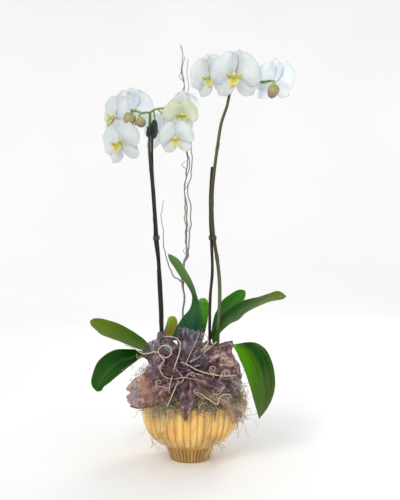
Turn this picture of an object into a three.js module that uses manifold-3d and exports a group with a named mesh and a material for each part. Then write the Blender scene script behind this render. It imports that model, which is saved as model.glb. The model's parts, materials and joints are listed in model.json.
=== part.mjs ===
// A moth orchid arrangement in a ribbed ceramic bowl. Millimetres, +Z up.
// The origin is the centre of the flat underside of the bowl's foot.
// +X is to the right of someone who looks at the front, and the front faces -Y.
import * as THREE from 'three';
import { mergeVertices } from 'three/addons/utils/BufferGeometryUtils.js';
import Module from 'manifold-3d';

const wasm = await Module();
wasm.setup();

// ---------------------------------------------------------------- driving dimensions
const BOWL_HEIGHT = 114;          // foot underside to rim
const BOWL_RIM_RADIUS = 89;       // outside, over the ribs
const BOWL_WALL = 5;              // wall thickness at the rim
const BOWL_RIBS = 40;             // rounded vertical ribs round the bowl
const RIB_DEPTH = 1.6;            // crest to groove, each side of the mean radius
const FOOT_HEIGHT = 27;           // height of the fluted foot
const FOOT_RADIUS = 36;           // radius of the flat underside
const LINER_BOTTOM_Z = 29;        // nursery pot, underside
const LINER_TOP_Z = 150;          // nursery pot, rim
const LINER_BOTTOM_RADIUS = 40;
const LINER_TOP_RADIUS = 68;
const LINER_WALL = 1.2;
const BARK_TOP_Z = 147;
const MOUND_TOP_Z = 171;          // top of the moss dressing
const LEAF_THICKNESS = 2.2;
const TEPAL_THICKNESS = 1.0;
const RIBBON_THICKNESS = 0.8;
const STEM_RADIUS = [3.0, 2.1];   // flower stem at its foot and at its top
const PEDICEL_RADIUS = 1.3;
const STAKE_RADIUS = 2.0;
const TWIG_RADIUS = [2.2, 1.0];
const VINE_RADIUS = 1.3;
const GAP = 0.35;                 // clearance between pieces that touch

// Leaf outlines: for each station from the crown to the tip, one edge and the other edge.
const LEAVES = {
  leaf_left_upper: [[-73.5, 6, 205.2, -69.2, -6, 192.9], [-84.2, 19.5, 214.8, -83.9, -12, 200.2], [-97.8, 28, 222.7, -99.1, -14, 205.7], [-111.7, 33.5, 230.6, -114.2, -13, 211.7], [-126.3, 38, 237.8, -129.6, -10, 217.2], [-141.4, 42.5, 243.7, -145.3, -5.5, 221.8], [-157, 44, 248.4, -161.1, 1, 227], [-172.5, 40, 251, -174.6, 11.2, 235.8], [-185.8, 28, 247.8, -185.6, 27, 247]],
  leaf_left_lower: [[-76.7, -2, 192.1, -74.2, -14, 181.7], [-95.5, 1, 199, -86.3, -23, 190.9], [-115.4, -2, 201, -97.4, -31, 183.7], [-134.7, -8.5, 201.5, -108.4, -38, 176.4], [-152, -16, 194.9, -119.1, -44, 168.6], [-165.6, -25, 183, -129.9, -48.5, 160.5], [-172.4, -35, 166.8, -140.7, -52, 152.1], [-174.9, -46, 149.7, -151.6, -55, 143.8], [-163.3, -58, 136.7, -163.3, -58, 136.7]],
  leaf_centre_tall: [[-34.9, 2, 217.1, 16.2, 4, 216.7], [-26.3, 4, 237.7, 21.6, 0, 239.4], [-14.9, 6, 256.9, 21.2, 0, 262], [-0.7, 2, 274.9, 17, 6, 283], [3.7, -8, 297.6, 10.3, 16, 303.3], [-5, -18, 319, 2, 24, 323.4], [-17.8, -24, 337.6, -8.4, 24, 343.5], [-29.8, -22, 355.8, -21.3, 16, 362.7], [-39.4, -10, 374.6, -39.1, -9, 375.4]],
  leaf_back_centre: [[-4.1, 18, 214.1, 23.5, 16, 214.5], [-3.4, 21.8, 224.4, 26, 21, 223.6], [-2.8, 27, 234.5, 28.6, 28, 232.5], [-1.3, 34.5, 244.2, 30.8, 38, 241.1], [1, 46, 253.2, 32.9, 51, 249.3], [3.8, 59, 262, 34.2, 64.8, 257.7], [8.3, 74, 270.1, 34.9, 78.5, 266.2], [14.4, 89, 277.3, 33.4, 91.5, 275], [23.8, 104, 280.7, 25.8, 104, 280.7]],
  leaf_right_upper: [[36.4, 14, 218.6, 43.6, 6, 216.4], [39.4, 29, 231.1, 47.1, 13.5, 228.7], [42.5, 42, 244.3, 50.5, 19, 241.4], [46.8, 52.5, 257.8, 54.5, 23.5, 254.1], [53, 60, 271.2, 63.9, 28, 264], [62.1, 66, 282.9, 74.9, 32.5, 272.3], [75.1, 70, 291.6, 86.7, 39, 279.7], [88.5, 70.5, 299.7, 98.1, 49.5, 287.4], [103.2, 66, 299.8, 104.1, 66, 298.5]],
  leaf_right_long: [[39.9, 0, 213.8, 43.4, -8, 209.8], [43, 7, 230.7, 50, -16.4, 226.5], [50.1, 13.2, 246.6, 59.7, -23.2, 240.5], [61.6, 18.2, 260, 71.8, -28.6, 252.2], [75.4, 19.6, 272, 85.8, -32.8, 260.2], [90.9, 19, 281.9, 97, -36, 271.7], [108.2, 16.8, 288, 110.5, -38.4, 280.5], [125.4, 12.6, 293.9, 124.8, -39.8, 287.8], [142, 4.8, 300.9, 140, -37.6, 292.9], [158.5, -6, 307.1, 156.4, -31.2, 295.1], [171.9, -20, 300.9, 171.9, -20, 299.8]],
  leaf_right_hanging: [[41.8, 8, 186.3, 54.8, 14, 192.5], [55.8, 1.6, 200.3, 74.9, 14, 204.4], [71.3, -6, 211.9, 97, 8, 211.4], [82.6, -14.8, 200.8, 119.3, 0.8, 212.6], [89.9, -24.4, 185.6, 137.4, -5.6, 201.3], [96.9, -34, 170.5, 147.5, -12, 182.2], [102.8, -42, 154.8, 152.6, -18.4, 161.3], [107.9, -47.6, 138.4, 153.1, -27.2, 140.4], [112.6, -51.6, 121.4, 147.8, -37.6, 120.6], [117.3, -54.4, 104.3, 137.2, -48, 103.1], [122.3, -56, 86.8, 122.8, -56, 87.5]],
  leaf_back_left: [[-54.1, 22, 209.6, -34.2, 34, 207.3], [-52.6, 30.6, 215.4, -30.8, 45.4, 212.6], [-51.2, 40, 221.2, -27.5, 56.9, 218], [-49.2, 50, 226.7, -26.2, 68, 224.3], [-47.2, 60, 232.4, -25.1, 78, 230.9], [-45.1, 71.1, 237.9, -25.3, 86.9, 238], [-43.6, 82.6, 243.7, -29.2, 92.9, 244.4], [-38, 94, 246.7, -36.9, 95, 246.7]],
};

const SPIKE_LEFT = [[-52.4, 4, 194.5], [-52.3, 4, 220.4], [-53, 2.6, 253.9], [-54.6, 0.9, 292.6], [-56.2, -0.9, 327.5], [-56.9, -2.6, 360.4], [-62.1, -4.3, 400.3], [-62.8, -6, 431], [-65.2, -7.7, 468.7], [-67.7, -8, 504.3], [-70.5, -6.9, 534.6], [-72.2, -5.1, 559.5], [-71.9, -3.4, 587.9], [-71.1, -1.7, 611], [-71.2, 0, 628.8]];
const SPIKE_LEFT_ARM_A = [[-71.2, 0, 627], [-78.2, -1.2, 627.6], [-85.3, -2.4, 626.8], [-95.8, -3.6, 630.2], [-104.7, -3.2, 632], [-112, -2, 631.4]];
const SPIKE_LEFT_ARM_B = [[-71.2, 0, 627], [-65.9, 1.2, 631.3], [-58.8, 2.8, 634.3], [-48.2, 5.2, 635.9], [-39.3, 6.8, 638.9], [-30.4, 8, 641.9]];
const SPIKE_RIGHT = [[50, 6, 201.5], [50.9, 6, 227.4], [52.7, 5.2, 258.9], [53.8, 3.8, 292.2], [53.2, 2.4, 327.2], [49.8, 1, 360.1], [44.3, -0.4, 394.7], [40.7, -1.8, 427.2], [39.6, -2, 461.4], [40.6, -1.4, 493.6], [43.8, 0, 525.8], [49.2, 1.4, 566.8], [56.3, 3.6, 609.6], [66.3, 6.4, 639.9], [71, 9.2, 661.5], [75.4, 12, 676], [86.2, 14.4, 682.4], [100.7, 15.8, 682.4], [113.2, 14.8, 683.4], [132.8, 13.4, 683.2], [145.3, 12, 682.7]];
const STAKE_LEFT = [[-50, 11, 193.1], [-50.2, 10, 221.2], [-51.5, 8, 289.8], [-55.7, 6, 359.6], [-60, 2, 418], [-63.4, -1, 472.1], [-66.7, 0, 516.9], [-67.9, 3, 547.3], [-67.7, 5, 579.5], [-67.4, 7, 608.1]];
const STAKE_RIGHT = [[35.5, 12, 196.6], [35.6, 10, 226.7], [36.6, 6, 295.6], [40.3, 4, 341.6], [39, 4, 388.9], [36.8, 6, 435.9], [37.1, 8, 490], [40, 10, 531.4]];
const TWIG = [[-11.7, 26, 193.8], [-12.6, 27.9, 231], [-13.5, 29.7, 258.8], [-11.6, 31.6, 294], [-15.3, 33.5, 323.6], [-7.9, 34.7, 379.2], [-6, 35.6, 434.6], [-9.6, 36.5, 489.8], [-5.9, 37.5, 535.6], [-7.7, 38, 581.2], [-2.1, 38, 617.5], [-7.6, 37.7, 653.7], [-11.2, 36.8, 680.6], [-16.6, 35.9, 707.5], [-12.9, 34.9, 734.2], [-14.6, 34, 751.9]];
const TWIG_SIDE = [[-15.4, 38, 319.3], [-22.8, 35.5, 325.2], [-30.1, 33, 329.2], [-37.4, 30.5, 346.2], [-45.5, 28, 370.5], [-49.2, 25.8, 398.3], [-49.8, 24.5, 420.4], [-53.3, 24, 444.3], [-47.8, 24, 471.7]];
const CROWN_LEFT_TOP = [-57.1, 6, 194.1];
const CROWN_RIGHT_TOP = [43.6, 6, 194.1];

// Flowers: centre, facing (az turns to +X from -Y, el looks up), roll, span across the petals.
const FLOWERS = {
  flower_1: {
    c: [-130.4, -6, 618.6],
    az: -52,
    el: 2,
    roll: -6,
    size: 82,
    tint: 0,
  },
  flower_2: {
    c: [-120.8, -26, 572.6],
    az: -32,
    el: -6,
    roll: 12,
    size: 86,
    tint: 0,
  },
  flower_3: {
    c: [-104.2, 34, 634.4],
    az: 172,
    el: 10,
    roll: 0,
    size: 82,
    tint: 0,
  },
  flower_4: {
    c: [-51.1, 26, 593.2],
    az: 142,
    el: -4,
    roll: 6,
    size: 84,
    tint: 0,
  },
  flower_5: {
    c: [-16.5, -14, 620.6],
    az: 14,
    el: -4,
    roll: 0,
    size: 66,
    tint: 1,
  },
  flower_6: {
    c: [-23.1, -34, 580],
    az: -10,
    el: -12,
    roll: 4,
    size: 66,
    tint: 0,
  },
  flower_7: {
    c: [-9.2, 24, 642.5],
    az: 158,
    el: 14,
    roll: 0,
    size: 54,
    tint: 1,
  },
  flower_8: {
    c: [37.8, 22, 692.3],
    az: -22,
    el: -8,
    roll: 12,
    size: 84,
    tint: 0,
  },
  flower_9: {
    c: [80.6, -12, 689.7],
    az: -14,
    el: -6,
    roll: -4,
    size: 94,
    tint: 0,
  },
  flower_10: {
    c: [151.7, 4, 681.2],
    az: 148,
    el: -6,
    roll: 0,
    size: 84,
    tint: 0,
  },
};

const BUDS = {
  bud_a: {
    c: [-105.3, -30, 612.7],
    r: 11.6,
    l: 27,
    az: -10,
    el: -74,
  },
  bud_b: {
    c: [-84.9, -34, 607.5],
    r: 10,
    l: 18,
    az: 50,
    el: -55,
  },
  bud_c: {
    c: [145.5, -28, 661.6],
    r: 11,
    l: 27,
    az: -40,
    el: -58,
  },
};

// Ribbon bow: the knot, the tip of each loop with its width and half depth, and the tails.
const KNOT = [-0.9, -86, 179.7];
const LOOPS = {
  bow_loop_left_upper: {
    tip: [-69.9, -52, 223.7],
    w: 50,
    h: 11,
    tilt: 10,
  },
  bow_loop_left: {
    tip: [-73.2, -88, 181.9],
    w: 58,
    h: 11,
    tilt: -8,
  },
  bow_loop_top: {
    tip: [1.2, -46, 246.7],
    w: 42,
    h: 10,
    tilt: 0,
  },
  bow_loop_right_upper: {
    tip: [80.1, -62, 200.8],
    w: 54,
    h: 11,
    tilt: 12,
  },
  bow_loop_right_lower: {
    tip: [87.6, -74, 154],
    w: 50,
    h: 10,
    tilt: -10,
  },
};
const TAILS = {
  bow_tail_left: {
    p: [[-9.5, -92, 172.3], [-29.9, -96, 164.6], [-50.4, -98, 156.3], [-71, -98, 149.4], [-88.6, -92, 140.9], [-106.9, -80, 131.7]],
    w: [16, 42, 56, 58, 50, 30],
  },
  bow_tail_centre: {
    p: [[-2.6, -94, 169.3], [-3.4, -98, 152.9], [-4.2, -100, 136], [-4.9, -100, 118.6], [-5.7, -98, 104.1], [-6.1, -96, 93.9]],
    w: [10, 25, 27, 21, 11, 2.5],
  },
  bow_tail_right: {
    p: [[11.1, -92, 167.1], [31.7, -92, 156.6], [52.5, -88, 145.1], [69.9, -84, 131.8], [78.8, -80, 113.1], [84.3, -74, 88.4]],
    w: [12, 34, 40, 38, 34, 28],
  },
};

// Dried curly vines laid over the bow.
const VINES = {
  vine_1: [[-112.9, -64, 220.7], [-102, -69.3, 217.3], [-92.9, -74.7, 214.9], [-83.9, -80, 210.5], [-75, -84, 208.9], [-67.9, -88, 211.5], [-60.8, -92, 214.4], [-53.8, -94.7, 213.7], [-49.4, -97.3, 208.2], [-43.3, -100, 201], [-47.6, -101.3, 195.2], [-50.1, -102.7, 187.8], [-47.5, -104, 180.3], [-41.5, -104.7, 173.5], [-34.7, -105.3, 170.9], [-27.9, -106, 171.8]],
  vine_2: [[-53.6, -99, 213.7], [-51.8, -100, 221.7], [-45.8, -101, 226.5], [-38.1, -102, 227.2], [-32.1, -103, 223.1], [-30.4, -102.5, 216.2], [-33.9, -102, 209.2], [-40.8, -100, 206], [-47.5, -98, 209]],
  vine_3: [[-50.6, -52, 230.1], [-41.4, -61, 235], [-30.6, -70, 236.3], [-21.6, -81, 235.2], [-16.2, -92, 229.6], [-16.1, -98, 218.7], [-19.4, -104, 207.9], [-24.4, -107, 193], [-28.7, -110, 178.2], [-32.6, -109, 162.5], [-34.7, -108, 148.4]],
  vine_4: [[-14.3, -104, 199.9], [-4.1, -105.1, 195], [4.4, -106.3, 191.1], [14.6, -107.4, 185.5], [26.5, -107.4, 181.8], [43.5, -106.3, 177.4], [60.6, -102.6, 174.8], [79.5, -98, 174.7]],
  vine_5: [[-19.5, -104, 164.7], [-23.6, -107, 156.8], [-27.9, -108, 146.7], [-33, -107, 134.3], [-39, -104, 121.4]],
  vine_6: [[0.9, -96, 197.5], [11.1, -92, 207.1], [21.4, -88, 215.6], [29, -82, 222.5], [31.8, -76, 230], [29.5, -70, 238.4], [23.2, -64, 240.8], [20.4, -61, 233.6], [26.1, -58, 228.4]],
  vine_7: [[11.2, -108, 148.4], [21.4, -108.9, 144.2], [33.3, -109.7, 135.9], [47.6, -108.9, 127.9], [50.3, -107.1, 136.8], [57.2, -104.9, 143.1], [67.5, -101.4, 142.3], [72.8, -98, 135.5]],
};

// ---------------------------------------------------------------- helpers
const V = (a) => new THREE.Vector3(a[0], a[1], a[2]);

function weld(geometry) {
  geometry.deleteAttribute('normal');
  geometry.deleteAttribute('uv');
  return mergeVertices(geometry, 1e-4);
}

function solid(geometry) {
  const g = weld(geometry);
  return new wasm.Manifold(new wasm.Mesh({
    numProp: 3,
    vertProperties: new Float32Array(g.attributes.position.array),
    triVerts: new Uint32Array(g.index.array),
  }));
}

function largest(body) {
  const parts = body.decompose();
  let best = parts[0];
  for (const p of parts) if (p.volume() > best.volume()) best = p;
  return best;
}

function geometryOf(body) {
  const m = body.getMesh();
  const g = new THREE.BufferGeometry();
  g.setAttribute('position', new THREE.BufferAttribute(new Float32Array(m.vertProperties), 3));
  g.setIndex(new THREE.BufferAttribute(new Uint32Array(m.triVerts), 1));
  g.computeVertexNormals();
  return g;
}

// A thin closed sheet that follows surface(u, v), with u and v from 0 to 1.
function sheet(nu, nv, thickness, surface, extend = 0) {
  const g = new THREE.BoxGeometry(1, 1, 1, nu, nv, 1);
  const p = g.attributes.position;
  const e = 1e-3;
  for (let i = 0; i < p.count; i++) {
    const u = p.getX(i) + 0.5, v = p.getY(i) + 0.5, w = p.getZ(i);
    const u0 = Math.max(0, u - e), u1 = Math.min(1, u + e);
    const v0 = Math.max(0, v - e), v1 = Math.min(1, v + e);
    const du = surface(u1, v).sub(surface(u0, v));
    const dv = surface(u, v1).sub(surface(u, v0));
    const n = du.cross(dv).normalize();
    const t = typeof thickness === 'function' ? thickness(u, v) : thickness;
    const q = surface(u, v).addScaledVector(n, w * t);
    if (extend > 0) {
      const eu = surface(u1, v).sub(surface(u0, v)).normalize();
      const ev = surface(u, v1).sub(surface(u, v0)).normalize();
      if (u < 1e-6) q.addScaledVector(eu, -extend);
      if (u > 1 - 1e-6) q.addScaledVector(eu, extend);
      if (v < 1e-6) q.addScaledVector(ev, -extend);
      if (v > 1 - 1e-6) q.addScaledVector(ev, extend);
    }
    p.setXYZ(i, q.x, q.y, q.z);
  }
  return g;
}

// A closed round bar along a curve, with radius(t) for t from 0 to 1.
function bar(points, sides, steps, radius, extend = 0) {
  const curve = new THREE.CatmullRomCurve3(points.map(V), false, 'centripetal');
  const frames = [];
  let normal = null;
  for (let i = 0; i <= steps; i++) {
    const t = i / steps;
    const tangent = curve.getTangentAt(t);
    if (!normal) {
      normal = new THREE.Vector3(0, 0, 1);
      if (Math.abs(tangent.z) > 0.8) normal.set(1, 0, 0);
    }
    normal = normal.clone().addScaledVector(tangent, -normal.dot(tangent)).normalize();
    frames.push({ at: curve.getPointAt(t), n: normal, b: normal.clone().cross(tangent) });
  }
  const g = new THREE.CylinderGeometry(1, 1, 1, sides, steps, false);
  const p = g.attributes.position;
  for (let i = 0; i < p.count; i++) {
    const t = p.getY(i) + 0.5;
    const f = frames[Math.round(t * steps)];
    const r = radius(t);
    const q = f.at.clone().addScaledVector(f.n, p.getX(i) * r).addScaledVector(f.b, p.getZ(i) * r);
    if (extend > 0 && (t < 1e-6 || t > 1 - 1e-6)) {
      q.addScaledVector(curve.getTangentAt(t < 0.5 ? 0 : 1), t < 0.5 ? -extend : extend);
    }
    p.setXYZ(i, q.x, q.y, q.z);
  }
  return g;
}

function lathe(profile, segments, shape) {
  const g = new THREE.LatheGeometry(profile.map(([r, z]) => new THREE.Vector2(r, z)), segments);
  const p = g.attributes.position;
  for (let i = 0; i < p.count; i++) {
    const x = p.getX(i), z = p.getY(i), y = -p.getZ(i);
    const r = Math.hypot(x, y), a = Math.atan2(y, x);
    const s = shape ? shape(r, a, z) : { r, z };
    p.setXYZ(i, s.r * Math.cos(a), s.r * Math.sin(a), s.z);
  }
  return g;
}

const mix = (a, b, t) => a + (b - a) * t;
const table = (rows, t) => {
  for (let i = 1; i < rows.length; i++) {
    if (t <= rows[i][0]) {
      const k = (t - rows[i - 1][0]) / (rows[i][0] - rows[i - 1][0]);
      return mix(rows[i - 1][1], rows[i][1], k);
    }
  }
  return rows[rows.length - 1][1];
};
const along = (points, t) => {
  const s = t * (points.length - 1), i = Math.min(points.length - 2, Math.floor(s));
  return V(points[i]).lerp(V(points[i + 1]), s - i);
};

// ---------------------------------------------------------------- pieces
const pieces = [];   // { name, body, color, roughness, metalness }
const add = (name, body, color, roughness = 0.6, metalness = 0, extra = {}) =>
  pieces.push({ name, body, color, roughness, metalness, extra });

// The bowl: a closed profile turned round the axis, ribbed outside.
const linerRadius = (z) => mix(LINER_BOTTOM_RADIUS, LINER_TOP_RADIUS,
  (z - LINER_BOTTOM_Z) / (LINER_TOP_Z - LINER_BOTTOM_Z));
const bowlOutside = [
  [0, 0], [FOOT_RADIUS, 0], [FOOT_RADIUS + 4.5, 14], [46, FOOT_HEIGHT],
  [56, 32], [65, 38.5], [73.5, 47], [81, 59], [85.2, 73], [88, 95], [88.4, 111],
];
const bowlInside = [
  [86.2, BOWL_HEIGHT], [84.4, 113], [83.6, 98], [81, 80], [74, 60], [62, 42], [46, 31], [37, 20], [32, 8], [0, 7],
];
{
  const seg = BOWL_RIBS * 2;
  const g = lathe([...bowlOutside, ...bowlInside], seg, (r, a, z) => {
    const k = Math.round(a / (2 * Math.PI) * seg);
    const crest = ((k % 2) + 2) % 2 === 0 ? 1 : -1;
    const outer = r > table([[0, 20], [7, 34], [27, 43], [34, 53], [52, 73], [82, 83.5], [114, 85.8], [120, 85.8]], z);
    let d = 0;
    if (outer && z > FOOT_HEIGHT) d = RIB_DEPTH * Math.min(1, (z - FOOT_HEIGHT) / 12);
    else if (outer && z > 1) d = 0.5;
    return { r: r + crest * d, z };
  });
  add('pot', solid(g), 0xd9b26e, 0.4);
}

// The nursery pot that holds the plants, open at the top.
const linerBody = (grow) => solid(lathe([
  [0, LINER_BOTTOM_Z - grow], [linerRadius(LINER_BOTTOM_Z) + grow, LINER_BOTTOM_Z - grow],
  [linerRadius(LINER_TOP_Z) + grow, LINER_TOP_Z + grow],
  [linerRadius(LINER_TOP_Z) - LINER_WALL - grow, LINER_TOP_Z + grow],
  [linerRadius(LINER_BOTTOM_Z + 1.5) - LINER_WALL - grow, LINER_BOTTOM_Z + LINER_WALL + grow],
  [0, LINER_BOTTOM_Z + LINER_WALL + grow]], 32));
add('nursery_pot', linerBody(0), 0x2b2b2b, 0.6);

add('bark_mix', solid(lathe([
  [0, LINER_BOTTOM_Z + 2], [linerRadius(31) - 2, LINER_BOTTOM_Z + 2],
  [linerRadius(BARK_TOP_Z) - 2, BARK_TOP_Z - 2], [40, BARK_TOP_Z + 1], [0, BARK_TOP_Z + 2]], 24)), 0x5a3d28, 0.95);

add('packing_moss', solid(lathe([
  [linerRadius(45) + 0.8, 45], [62, 45], [72.5, 60], [79.4, 80], [81.2, 92], [81.8, 106.5],
  [linerRadius(106.5) + 0.8, 106.5], [linerRadius(45) + 0.8, 45]], 32)), 0xa08c64, 0.95);

// The dressing of dried moss, a low mound over the nursery pot and out to the rim.
{
  const g = lathe([
    [linerRadius(107.5) + 0.8, 107.5], [81.5, 107.5], [82.5, 113], [82, 120], [78, 134], [72.5, 149],
    [62, 161], [36, 168], [0, MOUND_TOP_Z], [0, LINER_TOP_Z + 1.5], [LINER_TOP_RADIUS + 0.9, LINER_TOP_Z + 1.5],
    [linerRadius(107.5) + 0.8, 107.5]], 30, (r, a, z) => {
    const outer = z > 113.5 && !(z < LINER_TOP_Z + 2 && r < linerRadius(z) + 1.5);
    const lump = outer ? 1.6 * Math.sin(5 * a + z * 0.11) + 1.2 * Math.sin(11 * a - z * 0.2) : 0;
    return r < 1 ? { r, z } : { r: r + Math.min(lump, 82.8 - Math.min(r, 82.8) + (z > 120 ? 3 : 0)), z: z + (outer && z > 150 ? lump * 0.8 : 0) };
  });
  add('moss_topdressing', solid(g), 0xa89a70, 0.98);
}

// The short stems that the leaves grow from.
const crown = (top, foot, grow) => solid(bar([foot, [mix(foot[0], top[0], 0.5), mix(foot[1], top[1], 0.5), 160], top,
  [top[0] * 1.02, top[1], top[2] + 14]], 10, 6, (t) => table([[0, 11], [0.3, 14], [0.7, 12.5], [1, 7]], t) + grow, grow));
const crownArgs = {
  crown_left: [CROWN_LEFT_TOP, [-38, 6, 128]],
  crown_right: [CROWN_RIGHT_TOP, [32, 6, 128]],
};
for (const [name, a] of Object.entries(crownArgs)) add(name, crown(a[0], a[1], 0), 0x5f7a32, 0.5);

// Leaves: each blade is folded a little along its midrib.
function leafSurface(stations) {
  const a = new THREE.CatmullRomCurve3(stations.map((s) => V(s.slice(0, 3))), false, 'centripetal');
  const b = new THREE.CatmullRomCurve3(stations.map((s) => V(s.slice(3, 6))), false, 'centripetal');
  return (u, v) => {
    const k = 1e-2, w = (2 * v - 1) ** 2;
    const A = a.getPoint(u), B = b.getPoint(u);
    const u0 = Math.max(0, u - k), u1 = Math.min(1, u + k);
    const t = a.getPoint(u1).add(b.getPoint(u1)).sub(a.getPoint(u0)).sub(b.getPoint(u0));
    const c = B.clone().sub(A);
    const n = t.clone().cross(c).normalize();
    if (n.z < 0) n.negate();
    return A.lerp(B, v).addScaledVector(n, -0.1 * c.length() * (1 - w));
  };
}
const leafBody = (stations, grow) => solid(sheet(11, 2, LEAF_THICKNESS + 2 * grow, leafSurface(stations), grow));
for (const [name, stations] of Object.entries(LEAVES)) add(name, leafBody(stations, 0), 0x3f7a1e, 0.35);

// Flower frames: x to the flower's side, y up its back sepal, z out of its face.
function flowerFrame(f) {
  const az = f.az * Math.PI / 180, el = f.el * Math.PI / 180, roll = f.roll * Math.PI / 180;
  const z = new THREE.Vector3(Math.sin(az) * Math.cos(el), -Math.cos(az) * Math.cos(el), Math.sin(el));
  const side = new THREE.Vector3(0, 0, 1).cross(z).normalize();
  const up = z.clone().cross(side);
  const x = side.clone().multiplyScalar(Math.cos(roll)).addScaledVector(up, Math.sin(roll));
  const y = z.clone().cross(x);
  return new THREE.Matrix4().makeBasis(x, y, z).setPosition(V(f.c));
}

const PETAL_WIDTH = [[0, 0.12], [0.15, 0.42], [0.4, 0.9], [0.65, 1], [0.85, 0.8], [1, 0.22]];
const SEPAL_WIDTH = [[0, 0.3], [0.3, 0.85], [0.55, 1], [0.8, 0.75], [1, 0.14]];
function tepal(angle, length, width, profile, lift, cup, bend, grow) {
  const c = Math.cos(angle), s = Math.sin(angle);
  return sheet(4, 2, TEPAL_THICKNESS + 2 * grow, (u, v) => {
    const r = 2 + u * length, w = (v - 0.5) * width * table(profile, u);
    const z = lift + cup * (u * u) * length * 0.16 - bend * (w * w) / width;
    return new THREE.Vector3(r * c - w * s, r * s + w * c, z);
  });
}
function perianth(f, grow) {
  const R = f.size / 2;
  const deg = Math.PI / 180;
  const parts = [
    tepal(8 * deg, R - 2, R * 1.02, PETAL_WIDTH, 1.3, 0.6, 0, grow),
    tepal(172 * deg, R - 2, R * 1.02, PETAL_WIDTH, 1.3, 0.6, 0, grow),
    tepal(90 * deg, R * 0.9, R * 0.6, SEPAL_WIDTH, -1.3, 0.05, 0.25, grow),
    tepal(-48 * deg, R * 0.88, R * 0.58, SEPAL_WIDTH, -1.3, 0.1, 0.25, grow),
    tepal(228 * deg, R * 0.88, R * 0.58, SEPAL_WIDTH, -1.3, 0.1, 0.25, grow),
  ].map(solid);
  const heart = new THREE.SphereGeometry(4.2 + grow, 8, 4);
  heart.scale(1, 1, 0.75);
  let body = solid(heart);
  for (const p of parts) body = body.add(p);
  return body.transform(flowerFrame(f).elements);
}
function lip(f, grow) {
  const k = f.size / 84;
  const column = new THREE.SphereGeometry(3.4 * k + grow, 6, 4);
  column.scale(1.1, 1.1, 1.6).translate(0, 1.2 * k, 9.6 * k);
  const blade = sheet(3, 2, 1.6 + 2 * grow, (u, v) => {
    const w = (v - 0.5) * table([[0, 6], [0.35, 11], [0.6, 12], [0.85, 8], [1, 3]], u) * k;
    return new THREE.Vector3(w, mix(1, -15, u) * k, (8.5 + 7 * Math.sin(u * 2.2)) * k);
  });
  const body = solid(column).add(solid(blade));
  return largest(body.transform(flowerFrame(f).elements));
}

// Flower stems with their arms, and the short stalk of each flower and bud.
function stalk(from, f, back) {
  const m = flowerFrame(f);
  const n = new THREE.Vector3().setFromMatrixColumn(m, 2);
  const c = V(f.c), a = V(from);
  const end = c.clone().addScaledVector(n, -back);
  const d = a.distanceTo(end);
  const c1 = a.clone().lerp(end, 0.3); c1.z += d * 0.12;
  const c2 = end.clone().addScaledVector(n, -0.38 * d);
  const curve = new THREE.CubicBezierCurve3(a, c1, c2, end);
  return curve.getPoints(6).map((p) => p.toArray());
}
const budFrame = (b) => ({ c: b.c, az: b.az, el: b.el, roll: 0 });
const STALKS_LEFT = [
  [SPIKE_LEFT_ARM_A[3], FLOWERS.flower_1, 3.6], [SPIKE_LEFT_ARM_A[2], FLOWERS.flower_2, 3.6],
  [SPIKE_LEFT_ARM_A[3], FLOWERS.flower_3, 3.6], [SPIKE_LEFT_ARM_B[1], FLOWERS.flower_4, 3.6],
  [SPIKE_LEFT_ARM_B[4], FLOWERS.flower_5, 3.6], [SPIKE_LEFT_ARM_B[2], FLOWERS.flower_6, 3.6],
  [SPIKE_LEFT_ARM_B[5], FLOWERS.flower_7, 3.6],
  [SPIKE_LEFT_ARM_A[5], budFrame(BUDS.bud_a), BUDS.bud_a.l / 2 + 0.4], [SPIKE_LEFT_ARM_A[1], budFrame(BUDS.bud_b), BUDS.bud_b.l / 2 + 0.4],
];
const STALKS_RIGHT = [
  [SPIKE_RIGHT[14], FLOWERS.flower_8, 3.6], [SPIKE_RIGHT[16], FLOWERS.flower_9, 3.6],
  [SPIKE_RIGHT[20], FLOWERS.flower_10, 3.6], [SPIKE_RIGHT[19], budFrame(BUDS.bud_c), BUDS.bud_c.l / 2 + 0.4],
];
function spike(main, arms, stalks, grow) {
  let body = solid(bar(main, 6, 26, (t) => mix(STEM_RADIUS[0], STEM_RADIUS[1], t) + grow, grow));
  for (const a of arms) body = body.add(solid(bar(a, 5, 6, (t) => mix(1.9, 1.4, t) + grow, grow)));
  for (const [from, f, back] of stalks) {
    body = body.add(solid(bar(stalk(from, f, back - grow), 4, 5, () => PEDICEL_RADIUS + grow, grow)));
  }
  return largest(body);
}
const spikes = {
  spike_left: (g) => spike(SPIKE_LEFT, [SPIKE_LEFT_ARM_A, SPIKE_LEFT_ARM_B], STALKS_LEFT, g),
  spike_right: (g) => spike(SPIKE_RIGHT, [], STALKS_RIGHT, g),
};
for (const [name, make] of Object.entries(spikes)) add(name, make(0), 0x3d4a1e, 0.5);

const stakes = {
  stake_left: (g) => solid(bar([[STAKE_LEFT[0][0] + 14, STAKE_LEFT[0][1], 96], ...STAKE_LEFT], 6, 12, () => STAKE_RADIUS + g, g)),
  stake_right: (g) => solid(bar([[STAKE_RIGHT[0][0] - 4, STAKE_RIGHT[0][1], 96], ...STAKE_RIGHT], 6, 12, () => STAKE_RADIUS + g, g)),
};
for (const [name, make] of Object.entries(stakes)) add(name, make(0), 0x241d18, 0.6);

const twig = (g) => solid(bar([[3, 30, 96], ...TWIG], 5, 34, (t) => mix(TWIG_RADIUS[0], TWIG_RADIUS[1], t) + g, g))
  .add(solid(bar(TWIG_SIDE, 4, 14, (t) => mix(1.2, 0.7, t) + g, g)));
add('curly_twig', largest(twig(0)), 0x6d5a48, 0.8);

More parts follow.
